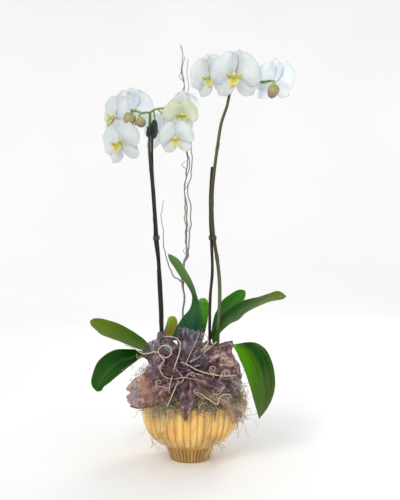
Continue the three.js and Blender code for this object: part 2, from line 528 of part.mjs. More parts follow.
// Clips that hold each stem to its stake.
function clip(stem, stake, z, w, h) {
  const at = (points) => {
    for (let i = 1; i < points.length; i++) {
      if ((points[i][2] - z) * (points[i - 1][2] - z) <= 0) {
        return V(points[i - 1]).lerp(V(points[i]), (z - points[i - 1][2]) / (points[i][2] - points[i - 1][2]));
      }
    }
    return V(points[points.length - 1]);
  };
  const a = at(stem), b = at(stake), m = a.clone().lerp(b, 0.5);
  const g = new THREE.CylinderGeometry(1, 1, h, 12, 1);
  g.rotateX(Math.PI / 2);
  g.scale(a.distanceTo(b) / 2 + w, w, 1);
  g.rotateZ(Math.atan2(b.y - a.y, b.x - a.x));
  g.translate(m.x, m.y, m.z);
  return solid(g);
}
add('clip_left_upper', clip(SPIKE_LEFT, STAKE_LEFT, 596, 6.2, 16), 0x15140f, 0.5);
add('clip_left_lower', clip(SPIKE_LEFT, STAKE_LEFT, 404, 5.0, 9), 0x15140f, 0.5);
add('clip_right', clip(SPIKE_RIGHT, STAKE_RIGHT, 404, 5.2, 9), 0x15140f, 0.5);

for (const [name, f] of Object.entries(FLOWERS)) {
  add(name, perianth(f, 0), 0xf4f4f0, 0.5);
  add(name + '_lip', lip(f, 0), 0xe2c45a, 0.5);
}
for (const [name, b] of Object.entries(BUDS)) {
  const g = new THREE.SphereGeometry(1, 12, 8);
  const p = g.attributes.position;
  for (let i = 0; i < p.count; i++) {
    const z = p.getZ(i), k = 1 - 0.18 * z;
    p.setXYZ(i, p.getX(i) * b.r * 0.92 * k, p.getY(i) * b.r * 0.92 * k, z * b.l / 2 * (b.l / 2 > 7 ? 1 : 1));
  }
  add(name, solid(g).transform(flowerFrame(budFrame(b)).elements), 0xc9c08a, 0.5);
}

// Ribbon bow of wide sheer ribbon.
function loopBody(L, grow) {
  const k = V(KNOT), tip = V(L.tip);
  const e = tip.clone().sub(k), len = e.length(); e.normalize();
  const out = new THREE.Vector3(e.x * 0.25, -1, 0.35).normalize();
  const n = out.clone().addScaledVector(e, -out.dot(e)).normalize();
  const w0 = n.clone().cross(e);
  const a = L.tilt * Math.PI / 180;
  const w = w0.clone().multiplyScalar(Math.cos(a)).addScaledVector(n, Math.sin(a));
  return solid(sheet(12, 2, RIBBON_THICKNESS + 2 * grow, (u, v) => {
    const s = Math.sin(Math.PI * mix(0.06, 0.94, u));
    const r = 6 + (len - 6) * Math.pow(s, 0.85);
    const h = -Math.sin(2 * Math.PI * mix(0.06, 0.94, u)) * L.h * -1 - 2;
    const wide = L.w * table([[0, 0.22], [0.35, 0.85], [0.6, 1], [1, 0.94]], s);
    return k.clone().addScaledVector(e, r).addScaledVector(n, h)
      .addScaledVector(w, (v - 0.5) * wide);
  }, grow));
}
const bowBodies = {};
for (const [name, L] of Object.entries(LOOPS)) bowBodies[name] = (g) => loopBody(L, g);
function tailBody(T, grow) {
  const pts = T.p.map(V);
  const curve = new THREE.CatmullRomCurve3(pts, false, 'centripetal');
  const widths = T.w.map((x, i) => [i / (T.w.length - 1), x]);
  return solid(sheet(8, 2, RIBBON_THICKNESS + 2 * grow, (u, v) => {
    const t = curve.getTangentAt(u), c = curve.getPointAt(u);
    const out = new THREE.Vector3(c.x, c.y, 25).normalize();
    const s = out.cross(t).normalize();
    return c.addScaledVector(s, (v - 0.5) * table(widths, u));
  }, grow));
}
for (const [name, T] of Object.entries(TAILS)) bowBodies[name] = (g) => tailBody(T, g);
const knotBody = (grow) => {
  const g = new THREE.SphereGeometry(1, 12, 8);
  g.scale(8 + grow, 7 + grow, 9 + grow).translate(KNOT[0], KNOT[1], KNOT[2]);
  return solid(g);
};
add('bow_knot', knotBody(0), 0x5a4056, 0.5);
for (const [name, make] of Object.entries(bowBodies)) add(name, make(0), 0x6f5468, 0.5);

const vineBodies = {
  curly_vine_1: (g) => largest(solid(bar(VINES.vine_1, 4, 34, () => VINE_RADIUS + g, g)).add(solid(bar(VINES.vine_2, 4, 20, () => VINE_RADIUS + g, g)))),
  curly_vine_2: (g) => solid(bar(VINES.vine_3, 4, 32, () => VINE_RADIUS + g, g)),
  curly_vine_3: (g) => solid(bar(VINES.vine_4, 4, 18, () => VINE_RADIUS + g, g)),
  curly_vine_4: (g) => solid(bar(VINES.vine_6, 4, 26, () => VINE_RADIUS + g, g)),
  curly_vine_5: (g) => solid(bar(VINES.vine_7, 4, 22, () => VINE_RADIUS + g, g)),
};
for (const [name, make] of Object.entries(vineBodies)) add(name, make(0), 0xb8a27c, 0.7);

// ---------------------------------------------------------------- clearances
// A piece later in this list gives way to every piece before it, with a small gap.
const grown = new Map();
const grow = (name, make) => grown.set(name, make(GAP));
for (const [name, a] of Object.entries(crownArgs)) grow(name, (g) => crown(a[0], a[1], g));
for (const [name, make] of Object.entries(spikes)) grow(name, make);
for (const [name, make] of Object.entries(stakes)) grow(name, make);
grow('curly_twig', (g) => largest(twig(g)));
for (const [name, s] of Object.entries(LEAVES)) grow(name, (g) => leafBody(s, g));
for (const [name, f] of Object.entries(FLOWERS)) {
  grow(name + '_lip', (g) => lip(f, g));
  grow(name, (g) => perianth(f, g));
}
for (const name of ['bud_a', 'bud_b', 'bud_c']) grow(name, () => {
  const g = new THREE.SphereGeometry(1, 12, 8);
  const b = BUDS[name];
  const p = g.attributes.position;
  for (let i = 0; i < p.count; i++) {
    const z = p.getZ(i), k = 1 - 0.18 * z;
    p.setXYZ(i, p.getX(i) * (b.r * 0.92 * k + 0.5), p.getY(i) * (b.r * 0.92 * k + 0.5), z * (b.l / 2 + 0.5));
  }
  return solid(g).transform(flowerFrame(budFrame(b)).elements);
});
grow('bow_knot', knotBody);
for (const [name, make] of Object.entries(bowBodies)) grow(name, make);
for (const [name, make] of Object.entries(vineBodies)) grow(name, make);
const order = ['spike_left', 'spike_right', 'stake_left', 'stake_right', 'curly_twig', 'crown_left', 'crown_right',
  ...Object.keys(LEAVES), ...Object.keys(BUDS), ...Object.keys(FLOWERS).map((n) => n + '_lip'), ...Object.keys(FLOWERS),
  'clip_left_upper', 'clip_left_lower', 'clip_right', 'bow_knot',
  ...Object.keys(TAILS), ...Object.keys(LOOPS), ...Object.keys(vineBodies), 'moss_topdressing', 'bark_mix'];
const byName = new Map(pieces.map((p) => [p.name, p]));
const touches = (a, b) => {
  const p = a.boundingBox(), q = b.boundingBox();
  return [0, 1, 2].every((k) => p.min[k] <= q.max[k] && q.min[k] <= p.max[k]);
};
for (let i = 1; i < order.length; i++) {
  const piece = byName.get(order[i]);
  for (let j = 0; j < i; j++) {
    const cutter = grown.get(order[j]);
    if (!cutter || !touches(piece.body, cutter)) continue;
    if (piece.body.intersect(cutter).volume() < 1e-6) continue;
    piece.body = largest(piece.body.subtract(cutter));
  }
}

// ---------------------------------------------------------------- the arrangement
const arrangement = new THREE.Group();
arrangement.name = 'potted_orchid';
for (const p of pieces) {
  const body = largest(p.body.simplify(p.name === 'pot' ? 0.01 : 0.12));
  const material = new THREE.MeshStandardMaterial({ color: p.color, roughness: p.roughness, metalness: p.metalness });
  const mesh = new THREE.Mesh(geometryOf(body), material);
  mesh.name = p.name;
  arrangement.add(mesh);
}

export default arrangement;
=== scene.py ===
# A moth orchid arrangement in a ribbed ochre bowl. Everything is in metres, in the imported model's frame.
import json
import math
import random

import bpy
import numpy as np
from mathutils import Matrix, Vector, noise

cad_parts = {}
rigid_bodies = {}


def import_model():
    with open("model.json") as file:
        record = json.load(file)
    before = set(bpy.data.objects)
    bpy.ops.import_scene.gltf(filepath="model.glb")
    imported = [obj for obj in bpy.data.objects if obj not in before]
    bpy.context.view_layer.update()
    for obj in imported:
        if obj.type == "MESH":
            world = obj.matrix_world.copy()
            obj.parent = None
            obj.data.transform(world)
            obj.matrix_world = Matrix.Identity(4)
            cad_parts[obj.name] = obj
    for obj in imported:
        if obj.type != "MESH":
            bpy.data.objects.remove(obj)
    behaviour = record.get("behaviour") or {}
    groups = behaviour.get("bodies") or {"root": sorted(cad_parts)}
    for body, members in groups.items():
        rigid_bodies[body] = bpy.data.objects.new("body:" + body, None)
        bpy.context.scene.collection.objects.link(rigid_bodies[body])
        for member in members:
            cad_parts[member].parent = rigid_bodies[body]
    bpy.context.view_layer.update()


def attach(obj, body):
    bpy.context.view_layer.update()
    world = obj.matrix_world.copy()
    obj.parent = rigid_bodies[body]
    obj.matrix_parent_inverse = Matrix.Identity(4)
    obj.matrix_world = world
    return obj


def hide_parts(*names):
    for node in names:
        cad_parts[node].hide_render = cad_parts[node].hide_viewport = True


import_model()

MM = 0.001
BODY = "root"

LAYOUT = {
    "leaves": {
        "leaf_left_upper": [[-73.5, 6, 205.2, -69.2, -6, 192.9], [-84.2, 19.5, 214.8, -83.9, -12, 200.2], [-97.8, 28, 222.7, -99.1, -14, 205.7], [-111.7, 33.5, 230.6, -114.2, -13, 211.7], [-126.3, 38, 237.8, -129.6, -10, 217.2], [-141.4, 42.5, 243.7, -145.3, -5.5, 221.8], [-157, 44, 248.4, -161.1, 1, 227], [-172.5, 40, 251, -174.6, 11.2, 235.8], [-185.8, 28, 247.8, -185.6, 27, 247]],
        "leaf_left_lower": [[-76.7, -2, 192.1, -74.2, -14, 181.7], [-95.5, 1, 199, -86.3, -23, 190.9], [-115.4, -2, 201, -97.4, -31, 183.7], [-134.7, -8.5, 201.5, -108.4, -38, 176.4], [-152, -16, 194.9, -119.1, -44, 168.6], [-165.6, -25, 183, -129.9, -48.5, 160.5], [-172.4, -35, 166.8, -140.7, -52, 152.1], [-174.9, -46, 149.7, -151.6, -55, 143.8], [-163.3, -58, 136.7, -163.3, -58, 136.7]],
        "leaf_centre_tall": [[-34.9, 2, 217.1, 16.2, 4, 216.7], [-26.3, 4, 237.7, 21.6, 0, 239.4], [-14.9, 6, 256.9, 21.2, 0, 262], [-0.7, 2, 274.9, 17, 6, 283], [3.7, -8, 297.6, 10.3, 16, 303.3], [-5, -18, 319, 2, 24, 323.4], [-17.8, -24, 337.6, -8.4, 24, 343.5], [-29.8, -22, 355.8, -21.3, 16, 362.7], [-39.4, -10, 374.6, -39.1, -9, 375.4]],
        "leaf_back_centre": [[-4.1, 18, 214.1, 23.5, 16, 214.5], [-3.4, 21.8, 224.4, 26, 21, 223.6], [-2.8, 27, 234.5, 28.6, 28, 232.5], [-1.3, 34.5, 244.2, 30.8, 38, 241.1], [1, 46, 253.2, 32.9, 51, 249.3], [3.8, 59, 262, 34.2, 64.8, 257.7], [8.3, 74, 270.1, 34.9, 78.5, 266.2], [14.4, 89, 277.3, 33.4, 91.5, 275], [23.8, 104, 280.7, 25.8, 104, 280.7]],
        "leaf_right_upper": [[36.4, 14, 218.6, 43.6, 6, 216.4], [39.4, 29, 231.1, 47.1, 13.5, 228.7], [42.5, 42, 244.3, 50.5, 19, 241.4], [46.8, 52.5, 257.8, 54.5, 23.5, 254.1], [53, 60, 271.2, 63.9, 28, 264], [62.1, 66, 282.9, 74.9, 32.5, 272.3], [75.1, 70, 291.6, 86.7, 39, 279.7], [88.5, 70.5, 299.7, 98.1, 49.5, 287.4], [103.2, 66, 299.8, 104.1, 66, 298.5]],
        "leaf_right_long": [[39.9, 0, 213.8, 43.4, -8, 209.8], [43, 7, 230.7, 50, -16.4, 226.5], [50.1, 13.2, 246.6, 59.7, -23.2, 240.5], [61.6, 18.2, 260, 71.8, -28.6, 252.2], [75.4, 19.6, 272, 85.8, -32.8, 260.2], [90.9, 19, 281.9, 97, -36, 271.7], [108.2, 16.8, 288, 110.5, -38.4, 280.5], [125.4, 12.6, 293.9, 124.8, -39.8, 287.8], [142, 4.8, 300.9, 140, -37.6, 292.9], [158.5, -6, 307.1, 156.4, -31.2, 295.1], [171.9, -20, 300.9, 171.9, -20, 299.8]],
        "leaf_right_hanging": [[41.8, 8, 186.3, 54.8, 14, 192.5], [55.8, 1.6, 200.3, 74.9, 14, 204.4], [71.3, -6, 211.9, 97, 8, 211.4], [82.6, -14.8, 200.8, 119.3, 0.8, 212.6], [89.9, -24.4, 185.6, 137.4, -5.6, 201.3], [96.9, -34, 170.5, 147.5, -12, 182.2], [102.8, -42, 154.8, 152.6, -18.4, 161.3], [107.9, -47.6, 138.4, 153.1, -27.2, 140.4], [112.6, -51.6, 121.4, 147.8, -37.6, 120.6], [117.3, -54.4, 104.3, 137.2, -48, 103.1], [122.3, -56, 86.8, 122.8, -56, 87.5]],
        "leaf_back_left": [[-54.1, 22, 209.6, -34.2, 34, 207.3], [-52.6, 30.6, 215.4, -30.8, 45.4, 212.6], [-51.2, 40, 221.2, -27.5, 56.9, 218], [-49.2, 50, 226.7, -26.2, 68, 224.3], [-47.2, 60, 232.4, -25.1, 78, 230.9], [-45.1, 71.1, 237.9, -25.3, 86.9, 238], [-43.6, 82.6, 243.7, -29.2, 92.9, 244.4], [-38, 94, 246.7, -36.9, 95, 246.7]],
    },
    "spike_left": [[-52.4, 4, 194.5], [-52.3, 4, 220.4], [-53, 2.6, 253.9], [-54.6, 0.9, 292.6], [-56.2, -0.9, 327.5], [-56.9, -2.6, 360.4], [-62.1, -4.3, 400.3], [-62.8, -6, 431], [-65.2, -7.7, 468.7], [-67.7, -8, 504.3], [-70.5, -6.9, 534.6], [-72.2, -5.1, 559.5], [-71.9, -3.4, 587.9], [-71.1, -1.7, 611], [-71.2, 0, 628.8]],
    "spike_left_branch_left": [[-71.2, 0, 627], [-78.2, -1.2, 627.6], [-85.3, -2.4, 626.8], [-95.8, -3.6, 630.2], [-104.7, -3.2, 632], [-112, -2, 631.4]],
    "spike_left_branch_right": [[-71.2, 0, 627], [-65.9, 1.2, 631.3], [-58.8, 2.8, 634.3], [-48.2, 5.2, 635.9], [-39.3, 6.8, 638.9], [-30.4, 8, 641.9]],
    "stake_left": [[-50, 11, 193.1], [-50.2, 10, 221.2], [-51.5, 8, 289.8], [-55.7, 6, 359.6], [-60, 2, 418], [-63.4, -1, 472.1], [-66.7, 0, 516.9], [-67.9, 3, 547.3], [-67.7, 5, 579.5], [-67.4, 7, 608.1]],
    "spike_right": [[50, 6, 201.5], [50.9, 6, 227.4], [52.7, 5.2, 258.9], [53.8, 3.8, 292.2], [53.2, 2.4, 327.2], [49.8, 1, 360.1], [44.3, -0.4, 394.7], [40.7, -1.8, 427.2], [39.6, -2, 461.4], [40.6, -1.4, 493.6], [43.8, 0, 525.8], [49.2, 1.4, 566.8], [56.3, 3.6, 609.6], [66.3, 6.4, 639.9], [71, 9.2, 661.5], [75.4, 12, 676], [86.2, 14.4, 682.4], [100.7, 15.8, 682.4], [113.2, 14.8, 683.4], [132.8, 13.4, 683.2], [145.3, 12, 682.7]],
    "stake_right": [[35.5, 12, 196.6], [35.6, 10, 226.7], [36.6, 6, 295.6], [40.3, 4, 341.6], [39, 4, 388.9], [36.8, 6, 435.9], [37.1, 8, 490], [40, 10, 531.4]],
    "twig": [[-11.7, 26, 193.8], [-12.6, 27.9, 231], [-13.5, 29.7, 258.8], [-11.6, 31.6, 294], [-15.3, 33.5, 323.6], [-7.9, 34.7, 379.2], [-6, 35.6, 434.6], [-9.6, 36.5, 489.8], [-5.9, 37.5, 535.6], [-7.7, 38, 581.2], [-2.1, 38, 617.5], [-7.6, 37.7, 653.7], [-11.2, 36.8, 680.6], [-16.6, 35.9, 707.5], [-12.9, 34.9, 734.2], [-14.6, 34, 751.9]],
    "twig_side": [[-15.4, 38, 319.3], [-22.8, 35.5, 325.2], [-30.1, 33, 329.2], [-37.4, 30.5, 346.2], [-45.5, 28, 370.5], [-49.2, 25.8, 398.3], [-49.8, 24.5, 420.4], [-53.3, 24, 444.3], [-47.8, 24, 471.7]],
    "crown_left": [-57.1, 6, 194.1],
    "crown_right": [43.6, 6, 194.1],
    "flowers": {
        "flower_1": {
            "c": [-130.4, -6, 618.6],
            "az": -52,
            "el": 2,
            "roll": -6,
            "size": 82,
            "tint": 0,
        },
        "flower_2": {
            "c": [-120.8, -26, 572.6],
            "az": -32,
            "el": -6,
            "roll": 12,
            "size": 86,
            "tint": 0,
        },
        "flower_3": {
            "c": [-104.2, 34, 634.4],
            "az": 172,
            "el": 10,
            "roll": 0,
            "size": 82,
            "tint": 0,
        },
        "flower_4": {
            "c": [-51.1, 26, 593.2],
            "az": 142,
            "el": -4,
            "roll": 6,
            "size": 84,
            "tint": 0,
        },
        "flower_5": {
            "c": [-16.5, -14, 620.6],
            "az": 14,
            "el": -4,
            "roll": 0,
            "size": 66,
            "tint": 1,
        },
        "flower_6": {
            "c": [-23.1, -34, 580],
            "az": -10,
            "el": -12,
            "roll": 4,
            "size": 66,
            "tint": 0,
        },
        "flower_7": {
            "c": [-9.2, 24, 642.5],
            "az": 158,
            "el": 14,
            "roll": 0,
            "size": 54,
            "tint": 1,
        },
        "flower_8": {
            "c": [37.8, 22, 692.3],
            "az": -22,
            "el": -8,
            "roll": 12,
            "size": 84,
            "tint": 0,
        },
        "flower_9": {
            "c": [80.6, -12, 689.7],
            "az": -14,
            "el": -6,
            "roll": -4,
            "size": 94,
            "tint": 0,
        },
        "flower_10": {
            "c": [151.7, 4, 681.2],
            "az": 148,
            "el": -6,
            "roll": 0,
            "size": 84,
            "tint": 0,
        },
    },
    "buds": {
        "bud_a": {
            "c": [-105.3, -30, 612.7],
            "r": 11.6,
            "l": 27,
            "az": -10,
            "el": -74,
        },
        "bud_b": {
            "c": [-84.9, -34, 607.5],
            "r": 10,
            "l": 18,
            "az": 50,
            "el": -55,
        },
        "bud_c": {
            "c": [145.5, -28, 661.6],
            "r": 11,
            "l": 27,
            "az": -40,
            "el": -58,
        },
    },
    "knot": [-0.9, -86, 179.7],
    "loops": {
        "bow_loop_left_upper": {
            "tip": [-69.9, -52, 223.7],
            "w": 50,
            "h": 11,
            "tilt": 10,
        },
        "bow_loop_left": {
            "tip": [-73.2, -88, 181.9],
            "w": 58,
            "h": 11,
            "tilt": -8,
        },
        "bow_loop_top": {
            "tip": [1.2, -46, 246.7],
            "w": 42,
            "h": 10,
            "tilt": 0,
        },
        "bow_loop_right_upper": {
            "tip": [80.1, -62, 200.8],
            "w": 54,
            "h": 11,
            "tilt": 12,
        },
        "bow_loop_right_lower": {
            "tip": [87.6, -74, 154],
            "w": 50,
            "h": 10,
            "tilt": -10,
        },
    },
    "tails": {
        "bow_tail_left": {
            "p": [[-9.5, -92, 172.3], [-29.9, -96, 164.6], [-50.4, -98, 156.3], [-71, -98, 149.4], [-88.6, -92, 140.9], [-106.9, -80, 131.7]],
            "w": [16, 42, 56, 58, 50, 30],
        },
        "bow_tail_centre": {
            "p": [[-2.6, -94, 169.3], [-3.4, -98, 152.9], [-4.2, -100, 136], [-4.9, -100, 118.6], [-5.7, -98, 104.1], [-6.1, -96, 93.9]],
            "w": [10, 25, 27, 21, 11, 2.5],
        },
        "bow_tail_right": {
            "p": [[11.1, -92, 167.1], [31.7, -92, 156.6], [52.5, -88, 145.1], [69.9, -84, 131.8], [78.8, -80, 113.1], [84.3, -74, 88.4]],
            "w": [12, 34, 40, 38, 34, 28],
        },
    },
    "vines": {
        "vine_1": [[-112.9, -64, 220.7], [-102, -69.3, 217.3], [-92.9, -74.7, 214.9], [-83.9, -80, 210.5], [-75, -84, 208.9], [-67.9, -88, 211.5], [-60.8, -92, 214.4], [-53.8, -94.7, 213.7], [-49.4, -97.3, 208.2], [-43.3, -100, 201], [-47.6, -101.3, 195.2], [-50.1, -102.7, 187.8], [-47.5, -104, 180.3], [-41.5, -104.7, 173.5], [-34.7, -105.3, 170.9], [-27.9, -106, 171.8]],
        "vine_2": [[-53.6, -99, 213.7], [-51.8, -100, 221.7], [-45.8, -101, 226.5], [-38.1, -102, 227.2], [-32.1, -103, 223.1], [-30.4, -102.5, 216.2], [-33.9, -102, 209.2], [-40.8, -100, 206], [-47.5, -98, 209]],
        "vine_3": [[-50.6, -52, 230.1], [-41.4, -61, 235], [-30.6, -70, 236.3], [-21.6, -81, 235.2], [-16.2, -92, 229.6], [-16.1, -98, 218.7], [-19.4, -104, 207.9], [-24.4, -107, 193], [-28.7, -110, 178.2], [-32.6, -109, 162.5], [-34.7, -108, 148.4]],
        "vine_4": [[-14.3, -104, 199.9], [-4.1, -105.1, 195], [4.4, -106.3, 191.1], [14.6, -107.4, 185.5], [26.5, -107.4, 181.8], [43.5, -106.3, 177.4], [60.6, -102.6, 174.8], [79.5, -98, 174.7]],
        "vine_5": [[-19.5, -104, 164.7], [-23.6, -107, 156.8], [-27.9, -108, 146.7], [-33, -107, 134.3], [-39, -104, 121.4]],
        "vine_6": [[0.9, -96, 197.5], [11.1, -92, 207.1], [21.4, -88, 215.6], [29, -82, 222.5], [31.8, -76, 230], [29.5, -70, 238.4], [23.2, -64, 240.8], [20.4, -61, 233.6], [26.1, -58, 228.4]],
        "vine_7": [[11.2, -108, 148.4], [21.4, -108.9, 144.2], [33.3, -109.7, 135.9], [47.6, -108.9, 127.9], [50.3, -107.1, 136.8], [57.2, -104.9, 143.1], [67.5, -101.4, 142.3], [72.8, -98, 135.5]],
    },
}

# ------------------------------------------------------------------ camera, light and floor
scene = bpy.context.scene
cam_data = bpy.data.cameras.new("camera")
cam_data.lens = 60.0
cam_data.sensor_width = 36.0
cam_data.clip_start, cam_data.clip_end = 0.05, 30.0
cam = bpy.data.objects.new("camera", cam_data)
scene.collection.objects.link(cam)
cam.location = (0.018, -1.5, 0.5)
cam.rotation_euler = (math.radians(85.5), 0.0, 0.0)
scene.camera = cam
scene.view_settings.view_transform = "Standard"
scene.view_settings.look = "None"


def lin(r, g, b):
    """sRGB 0-255 to linear"""
    out = []
    for v in (r, g, b):
        v = v / 255.0
        out.append(v / 12.92 if v <= 0.04045 else ((v + 0.055) / 1.055) ** 2.4)
    return (*out, 1.0)


world = bpy.data.worlds.new("studio")
scene.world = world
world.use_nodes = True
world.node_tree.nodes["Background"].inputs["Color"].default_value = (0.97, 0.98, 1.0, 1)
world.node_tree.nodes["Background"].inputs["Strength"].default_value = 0.74


def lamp(name, kind, at, to, power, size, colour=(1, 1, 1)):
    d = bpy.data.lights.new(name, kind)
    d.energy, d.color = power, colour
    if kind == "AREA":
        d.shape, d.size = "DISK", size
    else:
        d.angle = math.radians(size)
    o = bpy.data.objects.new(name, d)
    scene.collection.objects.link(o)
    o.location = at
    o.rotation_euler = (Vector(to) - Vector(at)).to_track_quat("-Z", "Y").to_euler()
    return o


lamp("sun", "SUN", (-0.9, -1.9, 2.1), (0.0, 0.0, 0.3), 1.0, 26, (1.0, 0.99, 0.97))
lamp("key", "AREA", (-0.55, -1.3, 1.15), (0.0, 0.0, 0.25), 3.0, 0.4, (1.0, 0.985, 0.96))
lamp("fill", "AREA", (1.2, -1.2, 0.5), (0.0, 0.0, 0.15), 2.4, 0.7, (1.0, 0.99, 0.98))
lamp("rim", "AREA", (0.7, 1.1, 1.3), (0.0, 0.0, 0.4), 7, 0.7, (1.0, 1.0, 1.0))


# ------------------------------------------------------------------ numeric helpers
def srnd(seed):
    return np.random.RandomState(int(seed) % 1000003)


def prof(rows, x):
    xs = np.array([r[0] for r in rows], float)
    ys = np.array([r[1] for r in rows], float)
    h, d = np.diff(xs), np.diff(ys) / np.diff(xs)
    m = np.zeros(len(xs))
    s = d[:-1] * d[1:]
    m[1:-1] = np.where(s > 0, 2 * s / (d[:-1] + d[1:] + 1e-12), 0)
    m[0], m[-1] = d[0], d[-1]
    x = np.clip(np.asarray(x, float), xs[0], xs[-1])
    i = np.clip(np.searchsorted(xs, x) - 1, 0, len(h) - 1)
    t = (x - xs[i]) / h[i]
    return (
        (2 * t**3 - 3 * t**2 + 1) * ys[i]
        + (t**3 - 2 * t**2 + t) * h[i] * m[i]
        + (-2 * t**3 + 3 * t**2) * ys[i + 1]
        + (t**3 - t**2) * h[i] * m[i + 1]
    )


def curve(points, n, even=True, sub=14):
    """a smooth centripetal curve through the points, as n points"""
    p = np.asarray(points, float)
    p = np.vstack([2 * p[0] - p[1], p, 2 * p[-1] - p[-2]])
    out = []
    for i in range(1, len(p) - 2):
        p0, p1, p2, p3 = p[i - 1 : i + 3]
        t = [0.0]
        for a, b in ((p0, p1), (p1, p2), (p2, p3)):
            t.append(t[-1] + max(np.linalg.norm(b - a), 1e-6) ** 0.5)
        for k in range(sub):
            x = t[1] + (t[2] - t[1]) * k / sub
            a1 = (t[1] - x) / (t[1] - t[0]) * p0 + (x - t[0]) / (t[1] - t[0]) * p1
            a2 = (t[2] - x) / (t[2] - t[1]) * p1 + (x - t[1]) / (t[2] - t[1]) * p2
            a3 = (t[3] - x) / (t[3] - t[2]) * p2 + (x - t[2]) / (t[3] - t[2]) * p3
            b1 = (t[2] - x) / (t[2] - t[0]) * a1 + (x - t[0]) / (t[2] - t[0]) * a2
            b2 = (t[3] - x) / (t[3] - t[1]) * a2 + (x - t[1]) / (t[3] - t[1]) * a3
            out.append((t[2] - x) / (t[2] - t[1]) * b1 + (x - t[1]) / (t[2] - t[1]) * b2)
    out.append(p[-2])
    out = np.array(out)
    if even:
        d = np.r_[0, np.cumsum(np.linalg.norm(np.diff(out, axis=0), axis=1))]
        s = np.linspace(0, d[-1], n)
    else:
        d = np.linspace(0, 1, len(out))
        s = np.linspace(0, 1, n)
    return np.stack([np.interp(s, d, out[:, k]) for k in range(out.shape[1])], axis=1)


def frames(path):
    t = np.gradient(path, axis=0)
    t /= np.linalg.norm(t, axis=1)[:, None] + 1e-12
    n = np.array([0.0, 0.0, 1.0]) if abs(t[0][2]) < 0.8 else np.array([1.0, 0.0, 0.0])
    ns = []
    for k in range(len(path)):
        n = n - t[k] * n.dot(t[k])
        n = n / (np.linalg.norm(n) + 1e-12)
        ns.append(n)
    ns = np.array(ns)
    return t, ns, np.cross(t, ns)


def tube(path, radius, sides=10, seed=0, rough=0.0, flat=1.0):
    """a closed round bar; returns (verts, quads, tris, surf)"""
    path = np.asarray(path, float)
    n = len(path)
    radius = np.broadcast_to(np.asarray(radius, float), (n,))
    t, nn, bb = frames(path)
    a = np.linspace(0, 2 * math.pi, sides, endpoint=False)
    r = radius[:, None] * np.ones(sides)[None]
    if rough:
        g = srnd(seed)
        r = r * (1 + rough * np.cumsum(g.randn(n, sides), axis=0) / math.sqrt(n) * 0.6 + rough * 0.3 * g.randn(n, sides))
    v = path[:, None] + nn[:, None] * (np.cos(a)[None, :, None] * r[..., None]) + bb[:, None] * (
        np.sin(a)[None, :, None] * r[..., None] * flat
    )
    v = v.reshape(-1, 3)
    i, j = np.meshgrid(np.arange(n - 1), np.arange(sides), indexing="ij")
    j2 = (j + 1) % sides
    quads = np.stack([i * sides + j, i * sides + j2, (i + 1) * sides + j2, (i + 1) * sides + j], -1).reshape(-1, 4)
    v = np.vstack([v, path[0] - t[0] * radius[0] * 0.4, path[-1] + t[-1] * radius[-1] * 0.4])
    c0, c1 = n * sides, n * sides + 1
    k = np.arange(sides)
    k2 = (k + 1) % sides
    tris = np.vstack(
        [
            np.stack([np.full(sides, c0), k2, k], -1),
            np.stack([np.full(sides, c1), (n - 1) * sides + k, (n - 1) * sides + k2], -1),
        ]
    )
    surf = np.stack(
        [np.repeat(np.linspace(0, 1, n), sides), np.tile(a / (2 * math.pi), n), np.ones(n * sides)], -1
    )
    surf = np.vstack([surf, [0, 0.5, 1], [1, 0.5, 1]])
    return v, quads, tris, surf


def normals_of(P):
    du = np.gradient(P, axis=0)
    dv = np.gradient(P, axis=1)
    n = np.cross(du, dv)
    ln = np.linalg.norm(n, axis=2)
    bad = ln < 1e-12
    n = n / np.maximum(ln, 1e-12)[..., None]
    if bad.any():
        n[bad] = n[~bad].mean(axis=0)
        n[bad] /= np.linalg.norm(n[bad], axis=1)[:, None] + 1e-12
    return n


def shell(P, thick, uu=None, vv=None):
    """a thin closed sheet round the grid P; thick is a number or a grid"""
    nu, nv = P.shape[:2]
    n = normals_of(P)
    th = np.broadcast_to(np.asarray(thick, float), (nu, nv))[..., None]
    top, bot = P + n * th / 2, P - n * th / 2
    v = np.vstack([top.reshape(-1, 3), bot.reshape(-1, 3)])
    i, j = np.meshgrid(np.arange(nu - 1), np.arange(nv - 1), indexing="ij")
    a = i * nv + j
    q = np.stack([a, a + nv, a + nv + 1, a + 1], -1).reshape(-1, 4)
    m = nu * nv
    qb = q[:, ::-1] + m
    rim = []
    e = lambda x, y: rim.append(np.stack([x, y, y + m, x + m], -1))
    k = np.arange(nv - 1)
    e(k, k + 1)
    e((nu - 1) * nv + k + 1, (nu - 1) * nv + k)
    k = np.arange(nu - 1)
    e((k + 1) * nv, k * nv)
    e(k * nv + nv - 1, (k + 1) * nv + nv - 1)
    quads = np.vstack([q, qb, *rim])
    uu = np.linspace(0, 1, nu) if uu is None else uu
    vv = np.linspace(0, 1, nv) if vv is None else vv
    U, W = np.meshgrid(uu, vv, indexing="ij")
    s = np.stack([U.ravel(), W.ravel(), np.ones(m)], -1)
    s2 = s.copy()
    s2[:, 2] = -1
    return v, quads, np.zeros((0, 3), int), np.vstack([s, s2])


def single(P, uu=None, vv=None):
    nu, nv = P.shape[:2]
    i, j = np.meshgrid(np.arange(nu - 1), np.arange(nv - 1), indexing="ij")
    a = i * nv + j
    q = np.stack([a, a + nv, a + nv + 1, a + 1], -1).reshape(-1, 4)
    U, W = np.meshgrid(np.linspace(0, 1, nu), np.linspace(0, 1, nv), indexing="ij")
    return P.reshape(-1, 3), q, np.zeros((0, 3), int), np.stack([U.ravel(), W.ravel(), np.ones(nu * nv)], -1)


